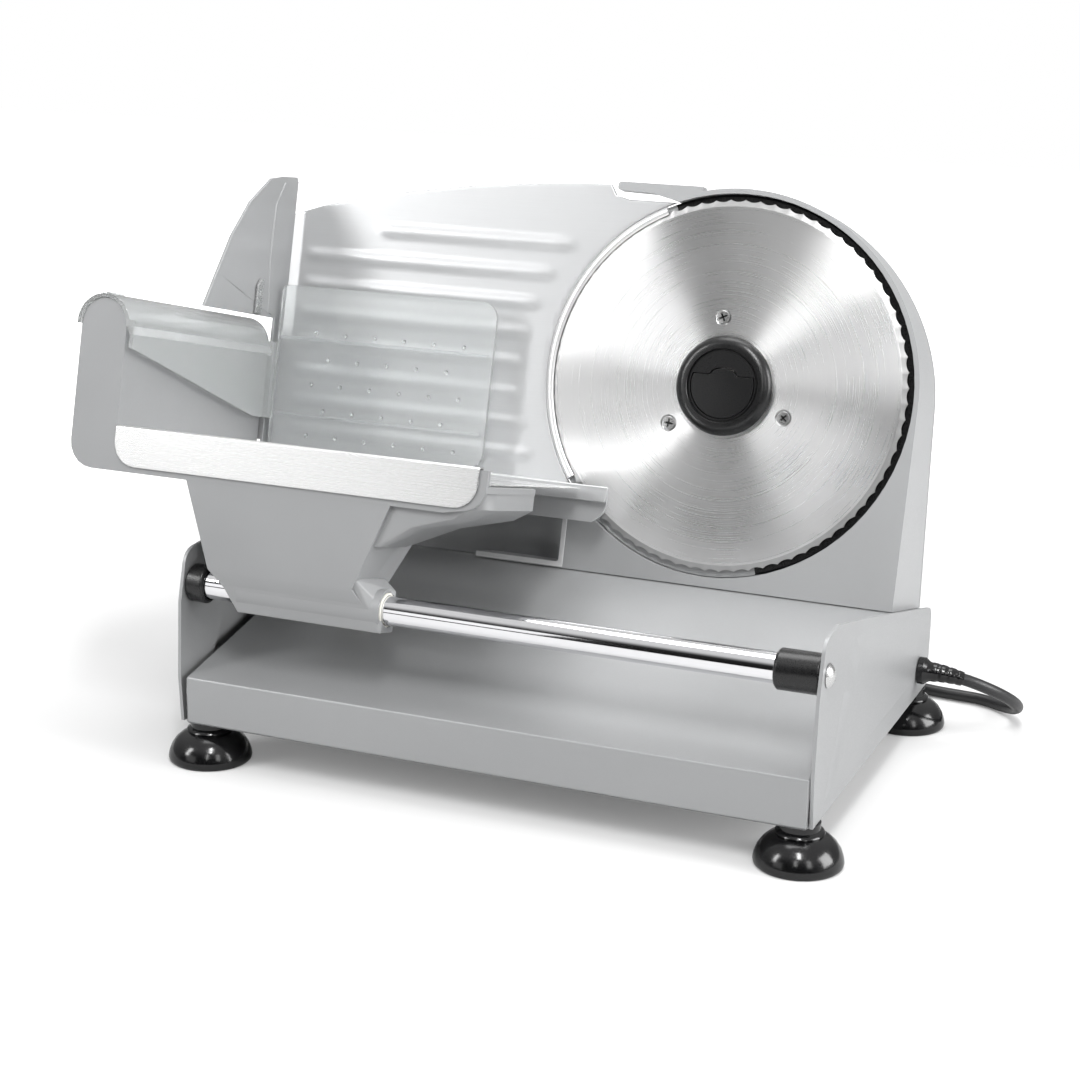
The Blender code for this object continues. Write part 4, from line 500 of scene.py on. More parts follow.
# corners are (u, v, radius); each one becomes a short arc
def filleted(corners, steps=6):
    out = []
    n = len(corners)
    for i, (x, y, r) in enumerate(corners):
        if r <= 0:
            out.append((x, y))
            continue
        p, q = corners[i - 1], corners[(i + 1) % n]
        a = Vector((p[0] - x, p[1] - y)).normalized()
        b = Vector((q[0] - x, q[1] - y)).normalized()
        half = acos(max(-1, min(1, a.dot(b)))) / 2
        reach = r / max(1e-6, (sin(half) / cos(half)))
        centre = Vector((x, y)) + (a + b).normalized() * (r / sin(half))
        first = Vector((x, y)) + a * reach - centre
        last = Vector((x, y)) + b * reach - centre
        s, e = atan2(first.y, first.x), atan2(last.y, last.x)
        while e - s > pi:
            e -= 2 * pi
        while e - s < -pi:
            e += 2 * pi
        out += arcPoints(centre.x, centre.y, r, s, e, steps)
    return out


# the same line with points no further apart than step
def evenly(points, step, closed=True):
    out = []
    count = len(points)
    for i in range(count if closed else count - 1):
        a, b = points[i], points[(i + 1) % count]
        parts = max(1, int(hypot(b[0] - a[0], b[1] - a[1]) / step + 0.5))
        out += [(a[0] + (b[0] - a[0]) * k / parts, a[1] + (b[1] - a[1]) * k / parts) for k in range(parts)]
    if not closed:
        out.append(points[-1])
    return out


# a closed outline moved inwards, each point along its own corner's bisector
def shrunk(points, inset):
    area = sum(a[0] * b[1] - b[0] * a[1] for a, b in zip(points, points[1:] + points[:1]))
    side = 1 if area > 0 else -1
    out = []
    n = len(points)
    for i in range(n):
        a, b, c = points[i - 1], points[i], points[(i + 1) % n]
        first = Vector((b[0] - a[0], b[1] - a[1])).normalized()
        second = Vector((c[0] - b[0], c[1] - b[1])).normalized()
        normal = Vector((-(first.y + second.y), first.x + second.x)) * side
        if normal.length < 1e-6:
            normal = Vector((-first.y, first.x)) * side
        normal.normalize()
        grow = 1 / max(0.5, abs(normal.dot(Vector((-first.y, first.x)))))
        out.append((b[0] + normal.x * inset * grow, b[1] + normal.y * inset * grow))
    return out


def isInside(point, outline):
    x, y = point
    inside = False
    j = len(outline) - 1
    for i in range(len(outline)):
        xi, yi = outline[i]
        xj, yj = outline[j]
        if (yi > y) != (yj > y) and x < (xj - xi) * (y - yi) / (yj - yi) + xi:
            inside = not inside
        j = i
    return inside


# a sheet with a rolled front edge and a raised pattern: height(u, v) in mm, toPlace(u, v, depth)
def pressedSheet(outline, thick, spacing, roll, height, toPlace):
    insets = [0.0] + [roll * (1 - cos(radians(a))) for a in (22.5, 45, 67.5, 90)]
    drops = [roll * (1 - sin(radians(a))) for a in (0, 22.5, 45, 67.5, 90)]
    rows = [shrunk(outline, inset) if inset else list(outline) for inset in insets]
    flat = [Vector(p) for row in rows for p in row]
    depth = [d for row, d in zip(rows, drops) for _ in row]
    count = len(outline)
    edges = [(k * count + i, k * count + (i + 1) % count) for k in range(len(rows)) for i in range(count)]
    inner = shrunk(outline, roll + 0.45 * min(spacing))
    us, vs = [p[0] for p in outline], [p[1] for p in outline]
    v = min(vs) + spacing[1] / 2
    while v < max(vs):
        u = min(us) + spacing[0] / 2
        while u < max(us):
            if isInside((u, v), inner):
                flat.append(Vector((u, v)))
                depth.append(0.0)
            u += spacing[0]
        v += spacing[1]
    spots, _, faces, origins, _, _ = delaunay_2d_cdt(flat, edges, [], 1, 1e-5)
    mesh = bmesh.new()
    front = []
    for spot, source in zip(spots, origins):
        drop = depth[source[0]] if source else 0.0
        front.append(mesh.verts.new(toPlace(spot.x, spot.y, drop - height(spot.x, spot.y))))
    for face in faces:
        mesh.faces.new([front[i] for i in face])
    rim = {source[0]: i for i, source in enumerate(origins) if source and source[0] < count}
    for i, source in enumerate(origins):
        for s in source:
            if s < count:
                rim[s] = i
    back = [mesh.verts.new(toPlace(u, v, thick)) for u, v in outline]
    for i in range(count):
        j = (i + 1) % count
        mesh.faces.new((front[rim[i]], front[rim[j]], back[j], back[i]))
    mesh.faces.new(back)
    bmesh.ops.recalc_face_normals(mesh, faces=mesh.faces)
    return mesh


# a straight-sided block of an outline
def slab(outline, low, high, toPlace):
    mesh = bmesh.new()
    bottom = [mesh.verts.new(toPlace(u, v, low)) for u, v in outline]
    top = [mesh.verts.new(toPlace(u, v, high)) for u, v in outline]
    mesh.faces.new(bottom)
    mesh.faces.new(top)
    for i in range(len(outline)):
        j = (i + 1) % len(outline)
        mesh.faces.new((bottom[i], bottom[j], top[j], top[i]))
    bmesh.ops.recalc_face_normals(mesh, faces=mesh.faces)
    return mesh


# outline in (x, w), depth along t
def facing(u, v, depth):
    return (u, depth, v)


def bevelled(mesh, width, segments=2, angle=30):
    edges = [e for e in mesh.edges if len(e.link_faces) == 2 and e.calc_face_angle(0) > radians(angle)]
    bmesh.ops.bevel(mesh, geom=edges, offset=width, segments=segments, profile=0.7, affect="EDGES",
                    clamp_overlap=True)
    return mesh


# takes each cutter out of the mesh with an exact Boolean
def carve(mesh, cutters):
    def asObject(shape, label):
        data = bpy.data.meshes.new(label)
        shape.to_mesh(data)
        shape.free()
        made = bpy.data.objects.new(label, data)
        scene.collection.objects.link(made)
        return made
    body = asObject(mesh, "blank")
    tools = [asObject(cutter, "cutter") for cutter in cutters]
    for tool in tools:
        cut = body.modifiers.new("cut", "BOOLEAN")
        cut.operation, cut.solver, cut.object = "DIFFERENCE", "EXACT", tool
    bpy.context.view_layer.update()
    result = bmesh.new()
    result.from_mesh(body.evaluated_get(bpy.context.evaluated_depsgraph_get()).to_mesh())
    for used in [body] + tools:
        data = used.data
        bpy.data.objects.remove(used)
        bpy.data.meshes.remove(data)
    return result


def merged(first, *others):
    data = bpy.data.meshes.new("merge")
    for other in others:
        other.to_mesh(data)
        first.from_mesh(data)
        other.free()
    bpy.data.meshes.remove(data)
    return first


# the cord: out of its gland, down to the table, and wound behind
cord = {
    "radius": 3.1,
    "lead": [(166.6, 80.0, 37.4), (172.0, 80.0, 37.3), (179.1, 80.7, 36.3),
             (186.4, 83.2, 34.1), (192.9, 87.2, 31.0), (198.8, 93.1, 26.9), (203.1, 100.2, 22.4),
             (205.5, 108.1, 17.7), (205.9, 117.0, 12.9), (203.9, 125.6, 8.7), (199.9, 133.5, 5.5),
             (193.9, 140.0, 3.8), (186.4, 144.8, 3.5), (179.1, 147.3, 3.5), (172.0, 148.0, 3.5),
             (158.0, 149.1, 3.5), (142.0, 152.3, 3.5), (124.0, 157.2, 3.5), (106.0, 162.0, 3.5),
             (90.0, 165.0, 3.5), (77.8, 165.8, 3.5)],
    "tail": [(32.2, 165.8, 16.4), (22, 165.8, 15.4), (10, 165.7, 13.2), (-3, 165.4, 10.9),
             (-16, 165.1, 9.6), (-30, 165, 9.2), (-40, 165, 9.2)],
    "coilMiddle": (55, 203),
    "outerTurn": 37.25,
    "innerTurn": 30.75,
    "layer": 6.5,
    "lowest": 3.5,
    "turns": 4.0,
    "pointsPerTurn": 24,
}


# where the cord is after so many turns: out, in, in above, out above, out on top
def coilPoint(c, turn):
    def ease(low, high):
        k = max(0.0, min(1.0, (turn - low) / (high - low)))
        return k * k * (3 - 2 * k)
    inward = ease(0.55, 0.85) - ease(2.25, 2.5)
    layers = ease(1.45, 1.7) + ease(3.2, 3.45)
    radius = c["outerTurn"] + (c["innerTurn"] - c["outerTurn"]) * inward
    angle = -pi / 2 - 2 * pi * turn
    return (c["coilMiddle"][0] + radius * cos(angle), c["coilMiddle"][1] + radius * sin(angle),
            c["lowest"] + c["layer"] * layers)


# points along a Catmull-Rom curve through the route
def smoothLine(points, step):
    out = []
    places = [Vector(p) for p in points]
    places = [2 * places[0] - places[1]] + places + [2 * places[-1] - places[-2]]
    for a, b, c, d in zip(places, places[1:], places[2:], places[3:]):
        parts = max(1, int((c - b).length / step))
        for k in range(parts):
            s = k / parts
            out.append(0.5 * (2 * b + (c - a) * s + (2 * a - 5 * b + 4 * c - d) * s * s
                              + (3 * b - a - 3 * c + d) * s ** 3))
    out.append(places[-2])
    return out


def buildCord(c):
    count = int(c["turns"] * c["pointsPerTurn"])
    wound = [coilPoint(c, i / c["pointsPerTurn"]) for i in range(count + 1)]
    route = c["lead"] + wound + c["tail"]
    line = [upright(*p) for p in smoothLine(route, 2.5)]
    data = bpy.data.curves.new("powerCord", "CURVE")
    data.dimensions = "3D"
    data.bevel_depth = c["radius"] * mm
    data.bevel_resolution = 6
    data.use_fill_caps = True
    spline = data.splines.new("POLY")
    spline.points.add(len(line) - 1)
    for point, place in zip(spline.points, line):
        point.co = (*place, 1)
    spline.use_smooth = True
    data.materials.append(finishes["extrudedPvc"])
    piece = bpy.data.objects.new("powerCord", data)
    scene.collection.objects.link(piece)
    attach(piece, "base")
    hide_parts("cord_lead", "cord_coil", "cord_tail")


slotOf = {name: piece.data.materials[0].name for name, piece in nodes.items()}
buildCord(cord)

# kept CAD nodes: finish, softened edges
softened = {
    # node: (edge radius mm, sharpest angle left smooth)
    "base_shell": 1.2, "base_bottom": 0.3, "side_plate_left": 0.5, "side_plate_right": 0.5,
    "motor_housing": 0.9, "housing_cover": 0.8, "carriage_body": 1.2, "steel_tray": 0.25,
    "finger_guard": 0.5, "pusher": 0.35, "guard_clip": 0.3, "guide_bracket": 0.5,
    "rod_socket_left": 0.4, "rod_socket_right": 0.4, "slide_rod": 0.4,
    "rod_screw_left": 0.15, "rod_screw_right": 0.15,
    "foot_front_left": 0.4, "foot_front_right": 0.4, "foot_rear_left": 0.4, "foot_rear_right": 0.4,
    "thickness_knob": 0.6, "switch_frame": 0.5, "switch_rocker": 0.4, "plug_body": 0.8,
    "plug_pin_left": 0.2, "plug_pin_right": 0.2, "carriage_glide": 0.4, "motor": 0.5,
    "blade_carrier": 0.3, "lock_grip": 0.2,
}


def finishNode(name, piece):
    data = piece.data
    if "custom_normal" in data.attributes:
        data.attributes.remove(data.attributes["custom_normal"])
    data.materials[0] = finishes[slotFinishes[slotOf[name]]]
    for polygon in data.polygons:
        polygon.use_smooth = True
    for edge in data.edges:
        edge.use_edge_sharp = False
    weld = piece.modifiers.new("weld", "WELD")
    weld.merge_threshold = 0.004 * mm
    radius = softened.get(name)
    if radius:
        bevel = piece.modifiers.new("softEdges", "BEVEL")
        bevel.limit_method = "ANGLE"
        bevel.angle_limit = radians(28)
        bevel.width = radius * mm
        bevel.segments = 3
        bevel.use_clamp_overlap = True
        weighted = piece.modifiers.new("flatFaces", "WEIGHTED_NORMAL")
        weighted.weight = 90
        weighted.keep_sharp = True
    else:
        split = piece.modifiers.new("sharpEdges", "EDGE_SPLIT")
        split.split_angle = radians(28)
        split.use_edge_sharp = False


for name, piece in nodes.items():
    finishNode(name, piece)
print("CAD nodes finished:", len(nodes))

# blade
bladeDisc = {
    "radius": 95.0, "thick": 1.6, "bevel": 3.6, "bore": 9.0, "scallops": 76, "depth": 1.2,
    "perScallop": 10, "screwCircle": 35.2, "screwStart": 98.0, "screwHead": 3.35,
}


def screwSpots(d):
    for i in range(3):
        a = radians(d["screwStart"]) + 2 * pi * i / 3
        yield i + 1, d["screwCircle"] * cos(a), d["screwCircle"] * sin(a)


def buildBlade(d):
    count = d["scallops"] * d["perScallop"]
    edge = [d["radius"] - d["depth"] * abs(sin(pi * (i % d["perScallop"]) / d["perScallop"])) ** 0.8
            for i in range(count)]
    inner = d["radius"] - d["bevel"]
    front = -d["thick"] / 2
    levels = [(d["bore"], front), (d["screwCircle"] - 8, front), (d["screwCircle"] + 8, front),
              (70.0, front), (inner - 0.2, front), (inner, front + 0.02), (inner + 0.2, front + 0.07),
              (None, front + 0.75), (None, front + 1.2),
              (inner, -front), (d["bore"], -front)]
    mesh = bmesh.new()
    rings = []
    for radius, depth in levels:
        rings.append([mesh.verts.new(((radius or edge[i]) * cos(2 * pi * i / count), depth,
                                      (radius or edge[i]) * sin(2 * pi * i / count)))
                      for i in range(count)])
    for level, (a, b) in enumerate(zip(rings, rings[1:] + rings[:1])):
        for i in range(count):
            j = (i + 1) % count
            face = mesh.faces.new((a[i], a[j], b[j], b[i]))
            face.material_index = 1 if level in (6, 7, 8) else 0
    bmesh.ops.recalc_face_normals(mesh, faces=mesh.faces)
    seats = []
    for _, x, w in screwSpots(d):
        seat = turned([(0, front - 1), (d["screwHead"] + 1.6, front - 1), (d["screwHead"] + 0.65, front + 0.55),
                       (2.3, front + 1.3), (2.3, 2), (0, 2)], 40)
        bmesh.ops.translate(seat, vec=(x, 0, w), verts=seat.verts)
        seats.append(seat)
    mesh = carve(mesh, seats)
    piece = addPiece("scallopedBlade", mesh, ["groundBladeSteel", "honedBladeEdge"], "blade",
                     (blade["x"], blade["t"], blade["w"]), instead=("blade",), smooth=24)
    return piece


# countersunk heads with a cross recess
def buildScrews(d):
    front = -d["thick"] / 2
    for number, x, w in screwSpots(d):
        head = d["screwHead"]
        mesh = turned([(0, front - 0.16), (2.4, front - 0.15), (head - 0.2, front - 0.09),
                       (head, front + 0.05), (2.0, front + 1.15), (2.0, 4.0), (0, 4.0)], 48)
        cutters = []
        for turn in (0.5, 0.5 + pi / 2):
            tool = slab([(-2.3, -0.47), (2.3, -0.47), (2.3, 0.47), (-2.3, 0.47)], front - 1.0, front + 1.2, facing)
            bmesh.ops.rotate(tool, matrix=Matrix.Rotation(turn + 0.6 * number, 3, "Y"), verts=tool.verts)
            cutters.append(tool)
        mesh = carve(mesh, cutters)
        # the faces inside the cross recess get the painted shade
        for face in mesh.faces:
            middle = face.calc_center_median()
            if middle.y > front - 0.05 and hypot(middle.x, middle.z) < 2.25 and middle.y < front + 1.3:
                face.material_index = 1
        addPiece("crossHeadScrew%d" % number, mesh, ["zincPlatedSteel", "screwRecessPaintedShade"], "blade",
                 (blade["x"] + x, blade["t"], blade["w"] + w), instead=("blade_screw_%d" % number,), smooth=30)


hubKnob = {
    "radius": 25.5, "height": 4.7, "gap": 0.3, "grip": 16.6, "thick": 1.8, "line": 5.0,
    "arch": 6.4, "archRise": 3.2,
}


# a half moon below its hinge line, with a low arch in the middle of the line
def gripOutline(k, clearance):
    radius, line = k["grip"] + clearance, k["line"] + clearance
    half = sqrt(radius ** 2 - line ** 2)
    start = atan2(line, half)
    edge = arcPoints(0, 0, radius, start, -pi - start, 64)
    arch = k["arch"] + clearance
    rise = k["archRise"]
    edge += [(-arch - 1.2, line), (-arch, line + 0.25)]
    edge += [(arch * cos(a), line + 0.5 + rise * sin(a)) for a in [pi - pi * i / 18 for i in range(1, 18)]]
    edge += [(arch, line + 0.25), (arch + 1.2, line)]
    return edge


def buildKnob(k):
    back = blade["t"] - bladeDisc["thick"] / 2 - k["gap"]
    front = -k["height"]
    mesh = turned([(0, front + 0.75), (k["grip"] + 1.1, front + 0.75), (k["grip"] + 1.2, front + 1.9),
                   (k["grip"] + 2.1, front + 1.9), (k["grip"] + 2.25, front + 0.25), (k["grip"] + 2.45, front),
                   (k["radius"] - 4.6, front + 0.02), (k["radius"] - 3.2, front + 0.35),
                   (k["radius"] - 1.6, front + 1.3), (k["radius"] - 0.5, front + 2.5),
                   (k["radius"], -0.9), (k["radius"] - 0.15, -0.2), (k["radius"] - 0.6, 0), (2.5, 0), (2.5, 12), (0, 12)], 128)
    pocket = slab(gripOutline(k, 0.55), front - 1, front + 0.75 + k["thick"] + 0.3, facing)
    # room behind the arch, which swings inwards as the grip folds out
    wide, rise = k["arch"] + 0.55, k["archRise"] + 0.55
    room = [(wide, k["line"] - 2.3)] + [(wide * cos(a), k["line"] + 0.5 + rise * sin(a))
                                       for a in [pi * i / 18 for i in range(19)]] + [(-wide, k["line"] - 2.3)]
    mesh = carve(mesh, [pocket, slab(room, front + 1.75, 1.0, facing)])
    addPiece("bladeLockKnob", mesh, "mouldedBlackAbs", "lock_knob", (blade["x"], back, blade["w"]),
             instead=("lock_knob",), smooth=25)
    grip = bevelled(slab(gripOutline(k, 0), 0, k["thick"], facing), 0.25, 3, 40)
    addPiece("foldingGrip", grip, "mouldedBlackAbs", "lock_grip", (blade["x"], back + front + 0.72, blade["w"]),
             instead=("lock_grip",), smooth=30)


buildBlade(bladeDisc)
buildScrews(bladeDisc)
buildKnob(hubKnob)
print("blade, screws and lock knob built")

# guide plate
guide = {
    "front": 29.0, "thick": 2.0, "arc": 98.6, "left": -206.0, "foot": 128.4,
    "ledgeFront": 3.4, "ledgeLeft": -200.4, "ledgeRight": 4.6, "lipBottom": 121.6,
    "coveDepth": 8.0, "coveLeft": -56.0, "coveBottom": 111.6,
    "ribHeight": 1.25, "ribHalf": 5.2,
}


ribs = []
for row in range(8):
    w = 254.0 - 16.0 * row
    reach = guide["arc"] + 13.5
    ribs.append(((-152.0 if row == 0 else -196.0, blade["x"] - sqrt(reach ** 2 - (w - blade["w"]) ** 2)), w))


# pillowy ribs: a rounded crown across, fading out towards both ends
def ribHeight(x, w):
    rise = 0.0
    for (left, right), middle in ribs:
        across = abs(w - middle) / guide["ribHalf"]
        if across >= 1:
            continue
        inside = min(x - left, right - x) / 9.0
        end = max(0.0, min(1.0, inside))
        crown = 0.5 + 0.5 * cos(pi * across)
        rise = max(rise, guide["ribHeight"] * crown * end * (2 - end))
    return rise


def plateOutline(g):
    arcLow = -pi + atan2(blade["w"] - g["foot"], sqrt(g["arc"] ** 2 - (blade["w"] - g["foot"]) ** 2))
    arcTop = pi - atan2(279.6 - blade["w"], sqrt(g["arc"] ** 2 - (279.6 - blade["w"]) ** 2))
    edge = [(g["left"], g["foot"]), (g["left"], 259.0), (-188.0, 265.0), (-168.0, 270.0), (-135.0, 276.3),
            (-97.0, 281.8), (-60.0, 285.2), (-38.0, 286.6), (-21.0, 287.0), (-17.6, 281.4), (-10.0, 279.6)]
    edge += arcPoints(blade["x"], blade["w"], g["arc"], arcTop, 2 * pi + arcLow, 60)
    return evenly(edge, 3.0)


def buildGuide(g):
    panel = pressedSheet(plateOutline(g), g["thick"], (3.0, 1.3), 0.7, ribHeight, facing)
    # the ledge, its lip and the cove under its right end are folded from the same sheet
    inner = blade["x"] - sqrt(g["arc"] ** 2 - (blade["w"] - g["foot"]) ** 2)
    deep = g["ledgeFront"] - g["front"]
    ledge = slab([(g["ledgeLeft"], g["thick"] - 0.1), (g["ledgeLeft"], deep), (g["ledgeRight"], deep),
                  (g["ledgeRight"] - 2.0, g["coveDepth"] + 2 - g["front"]),
                  (inner - 1.0, g["coveDepth"] + 2 - g["front"]), (inner - 1.0, g["thick"] - 0.1)],
                 g["foot"], g["foot"] + g["thick"], lambda u, v, d: (u, v, d))
    lip = slab([(g["ledgeLeft"], g["lipBottom"]), (g["ledgeRight"] - 1.0, g["lipBottom"] + 1.0),
                (g["ledgeRight"], g["foot"] + 1.9), (g["ledgeLeft"], g["foot"] + 1.9)],
               deep, deep + g["thick"], facing)
    low, deepCove = g["coveBottom"], g["coveDepth"] - g["front"]
    cove = slab([(g["coveLeft"], g["foot"] + 1.0), (g["coveLeft"], low), (-4.3, low), (-0.5, low + 2.6),
                 (1.9, low + 5.2), (3.4, low + 9.4), (3.0, g["foot"] + 1.0)],
                deepCove, deepCove + g["thick"], facing)
    # a rolled rim, painted bright as a highlight, follows the blade's arc just outside its teeth
    arcLow = -pi + atan2(blade["w"] - g["foot"] - 3, sqrt(g["arc"] ** 2 - (blade["w"] - g["foot"] - 3) ** 2))
    arcTop = pi - atan2(277.5 - blade["w"], sqrt(g["arc"] ** 2 - (277.5 - blade["w"]) ** 2))
    section = [(98.0, 1.4), (98.0, -0.9), (97.2, -1.9), (95.6, -2.4), (94.2, -2.2), (93.7, -1.9), (95.6, -1.2), (95.9, 1.4)]
    rim = bmesh.new()
    rings = []
    for i in range(91):
        a = arcTop + (2 * pi + arcLow - arcTop) * i / 90
        rings.append([rim.verts.new((blade["x"] + r * cos(a), depth, blade["w"] + r * sin(a))) for r, depth in section])
    for a, b in zip(rings, rings[1:]):
        for k in range(len(section)):
            j = (k + 1) % len(section)
            rim.faces.new((a[k], a[j], b[j], b[k]))
    rim.faces.new(rings[0])
    rim.faces.new(rings[-1])
    bmesh.ops.recalc_face_normals(rim, faces=rim.faces)
    addPiece("paintedHighlightArcRim", rim, "polishedAluminiumEdge", "base", (0, g["front"], 0),
             smooth=35)
    mesh = merged(panel, bevelled(ledge, 0.6, 3), bevelled(lip, 0.6, 3), bevelled(cove, 0.5, 3))
    addPiece("ribbedGuidePlate", mesh, "anodisedAluminiumSheet", "guide", (0, g["front"], 0),
             instead=("guide_plate",), smooth=28)


buildGuide(guide)
print("guide plate built")

# small visible details that ride on the CAD pieces
recessShadeRing = {"outer": 97.6, "inner": 84.0, "front": 30.6, "back": 32.7, "start": -75.0, "end": 112.0}


# painted shade: a black ring behind the blade's edge, standing in for the shadowed gap round it
def buildRecessShade(r):
    mesh = turned([(r["inner"], r["back"] - blade["t"]), (r["inner"], r["front"] + 0.8 - blade["t"]),
                   (r["inner"] + 1.2, r["front"] - blade["t"]), (r["outer"] - 1.0, r["front"] - blade["t"]),
                   (r["outer"], r["front"] - 1.0 - blade["t"]), (r["outer"], r["back"] - blade["t"]),
                   (r["inner"], r["back"] - blade["t"])], 160)
    bmesh.ops.remove_doubles(mesh, verts=mesh.verts, dist=0.001)
    bmesh.ops.recalc_face_normals(mesh, faces=mesh.faces)
    # painted shade: black only between the start and end angles, where the gap falls in shadow; the rest takes the
    # housing's paint
    for face in mesh.faces:
        middle = face.calc_center_median()
        angle = degrees(atan2(middle.z, middle.x))
        face.material_index = 0 if r["start"] < angle < r["end"] else 1
    addPiece("recessPaintedShadeRing", mesh, ["mouldedBlackAbs", "sprayedCastAluminium"], "base", (blade["x"], blade["t"], blade["w"]),
             smooth=30)


edgeHighlight = {"stepX": -26.5, "width": 2.6, "front": 25.9, "back": 26.6, "low": 85.6, "high": 114.5, "left": -73.5}


# the folded edge round the dark corner under the ledge, painted pale as a highlight
def buildEdgeHighlight(t):
    shape = [(t["left"], t["low"], 0.3), (t["stepX"] + t["width"], t["low"], 0.3), (t["stepX"] + t["width"], t["high"], 0.3),
             (t["stepX"], t["high"], 0.3), (t["stepX"], t["low"] + t["width"], 1.6), (t["left"], t["low"] + t["width"], 0.3)]
    mesh = bevelled(slab(filleted(shape, 5), t["front"], t["back"], facing), 0.2, 2)
    addPiece("housingEdgeHighlight", mesh, "sprayedPaleEdge", "base", smooth=30)


wallCap = {"inner": -203.2, "width": 25.4, "capW": 184.6, "front": -131.2, "ridges": 9}


# thumb ridges on the crown of the pusher's cap, at its front end
def buildCapRidges(c):
    outer = c["width"] / 2 + 2.1
    mesh = bmesh.new()
    for i in range(c["ridges"]):
        a = radians(96 + 9.5 * i)
        ridge = slab([(-0.55, -0.3), (0.55, -0.3), (0.3, 0.75), (-0.3, 0.75)], 0, 15.0,
                     lambda u, v, d: (u, d, v))
        bevelled(ridge, 0.12, 2)
        bmesh.ops.translate(ridge, vec=(0, 0, outer), verts=ridge.verts)
        bmesh.ops.rotate(ridge, matrix=Matrix.Rotation(pi / 2 - a, 3, "Y"), verts=ridge.verts)
        merged(mesh, ridge)
    middle = c["inner"] - c["width"] / 2
    addPiece("pusherThumbRidges", mesh, "mouldedClearSan", "pusher", (middle, c["front"] + 3.0, c["capW"]),
             smooth=30)


pusherRibs = {"left": -197.5, "right": -73.0, "rows": (191.0, 149.5), "front": 12.1, "back": 13.1}


# two stiffening ribs across the pusher's clear face
def buildPusherRibs(p):
    mesh = bmesh.new()
    for w in p["rows"]:
        rib = bevelled(slab([(p["left"], w - 0.9), (p["right"], w - 0.9), (p["right"], w + 0.9), (p["left"], w + 0.9)],
                            p["front"], p["back"], facing), 0.3, 3)
        merged(mesh, rib)
    addPiece("pusherFaceRibs", mesh, "mouldedClearSan", "pusher", smooth=30)


relief = {"start": 161.2, "length": 22.0, "thick": 5.6, "thin": 3.7, "grooves": 5}


# tapered strain relief that follows the cord out of its gland
def buildRelief(r):
    route = [Vector(p) for p in smoothLine([(r["start"], 80.0, 37.5)] + cord["lead"], 0.5)]
    line, gone = [route[0]], 0.0
    for a, b in zip(route, route[1:]):
        gone += (b - a).length
        if gone > r["length"]:
            break
        line.append(b)
    mesh = bmesh.new()
    rings = []
    for i, place in enumerate(line):
        k = i / (len(line) - 1)
        along = (line[min(i + 1, len(line) - 1)] - line[max(i - 1, 0)]).normalized()
        side = along.cross(Vector((0, 0, 1))).normalized()
        up = side.cross(along)
        wave = 0.28 * max(0.0, sin(2 * pi * r["grooves"] * k)) if 0.08 < k < 0.94 else 0.0
        radius = r["thick"] + (r["thin"] - r["thick"]) * k - wave
        rings.append([mesh.verts.new(place + (side * cos(2 * pi * j / 40) + up * sin(2 * pi * j / 40)) * radius)
                      for j in range(40)])
    for a, b in zip(rings, rings[1:]):
        for j in range(40):
            mesh.faces.new((a[j], a[(j + 1) % 40], b[(j + 1) % 40], b[j]))
    mesh.faces.new(rings[0])
    mesh.faces.new(rings[-1])
    bmesh.ops.recalc_face_normals(mesh, faces=mesh.faces)
    addPiece("strainRelief", mesh, "mouldedRubber", "base", leans=False, smooth=40)


foot = {
    # (radius, height above the table) from the neck down to the rim
    "profile": [(0, 20.9), (9.3, 20.7), (9.3, 17.4), (9.9, 16.9), (11.0, 16.4), (11.4, 15.6), (11.0, 14.8),
                (12.2, 14.2), (14.6, 12.8), (17.0, 10.6), (19.0, 7.6), (20.2, 4.2), (20.5, 2.2), (20.2, 0.8),
                (19.4, 0.05), (17.6, 0.05), (15.5, 2.4), (9.0, 5.6), (0, 6.4)],
    "names": ("foot_front_left", "foot_front_right", "foot_rear_left", "foot_rear_right"),
}


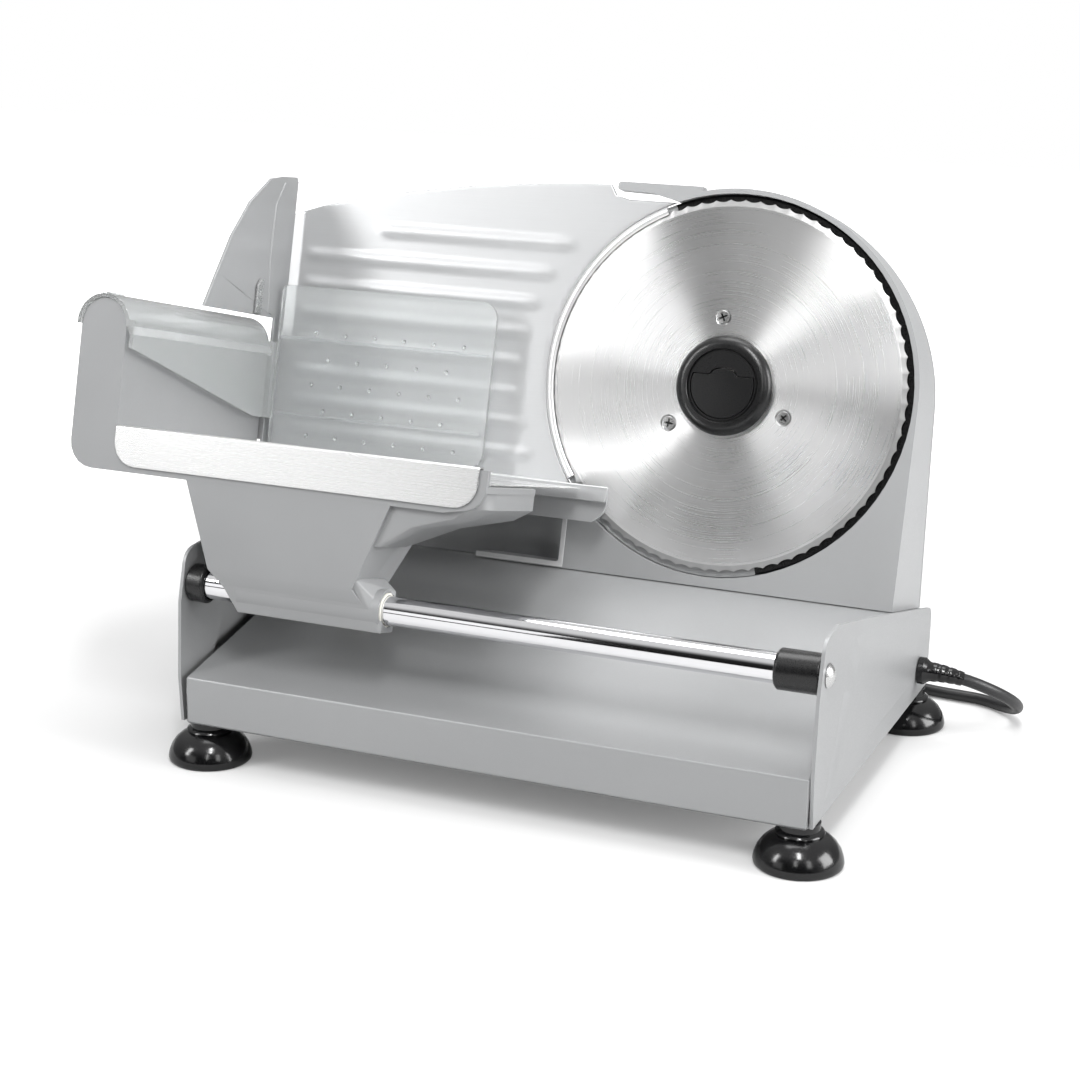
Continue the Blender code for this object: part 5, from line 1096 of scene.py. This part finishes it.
# glossy suction feet: a thick neck, a ring and a domed cup
def buildFeet(f):
    for name in f["names"]:
        low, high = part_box(name)
        mesh = turned(f["profile"], 72, "z")
        _, depth, side = name.split("_")
        piece = addPiece(depth + side.title() + "Foot", mesh, "mouldedRubber", "base",
                         leans=False, instead=(name,), smooth=50)
        piece.matrix_world = Matrix.Translation(((low.x + high.x) / 2, (low.y + high.y) / 2, 0))


armCover = {
    # the arm's flat front runs down over the rod's boss to its lower edge
    "front": -130.25, "top": 78.0, "topLeft": -146.5, "topRight": -66.8, "lowFront": -123.0,
    "lowLeft": -130.5, "right": -53.8, "boss": 10.6, "bore": 8.0,
}


def buildArmCover(a):
    low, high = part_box("slide_rod")
    middle = ((low + high) / 2 - shift) / mm
    rodT = middle.y * cos(lean) - middle.z * sin(lean)
    rodW = middle.y * sin(lean) + middle.z * cos(lean)
    sole, rear = rodW - a["boss"], rodT + 6.0
    corners = [(a["topLeft"], a["front"], a["top"]), (a["topRight"], a["front"], a["top"]),
               (a["topLeft"], rear, a["top"]), (-60.0, rear, a["top"]), (a["lowLeft"], a["lowFront"], sole),
               (a["right"], a["lowFront"], sole), (a["lowLeft"], rear, sole), (a["right"], rear, sole),
               (a["right"], a["lowFront"] + 1.5, rodW + 1.0), (a["right"], rear, rodW + 9.0)]
    mesh = bmesh.new()
    for corner in corners:
        mesh.verts.new((corner[0], corner[1] - rodT, corner[2] - rodW))
    hull = bmesh.ops.convex_hull(mesh, input=mesh.verts)
    bmesh.ops.delete(mesh, geom=list({p for p in hull["geom_interior"] + hull["geom_unused"]
                                      if isinstance(p, bmesh.types.BMVert)}), context="VERTS")
    bmesh.ops.dissolve_limit(mesh, angle_limit=radians(1), verts=mesh.verts, edges=mesh.edges)
    bevelled(mesh, 0.8, 3, 12)
    bmesh.ops.recalc_face_normals(mesh, faces=mesh.faces)
    tool = turned([(0, -200), (a["bore"], -200), (a["bore"], 0), (0, 0)], 64, "x")
    addPiece("carriageArmFront", carve(mesh, [tool]), "mouldedSilverAbs", "carriage", (0, rodT, rodW),
             smooth=20)


buildArmCover(armCover)
buildFeet(foot)
buildRecessShade(recessShadeRing)
buildEdgeHighlight(edgeHighlight)
buildCapRidges(wallCap)
buildPusherRibs(pusherRibs)
buildRelief(relief)
print("details built")

# the end
bpy.context.view_layer.update()
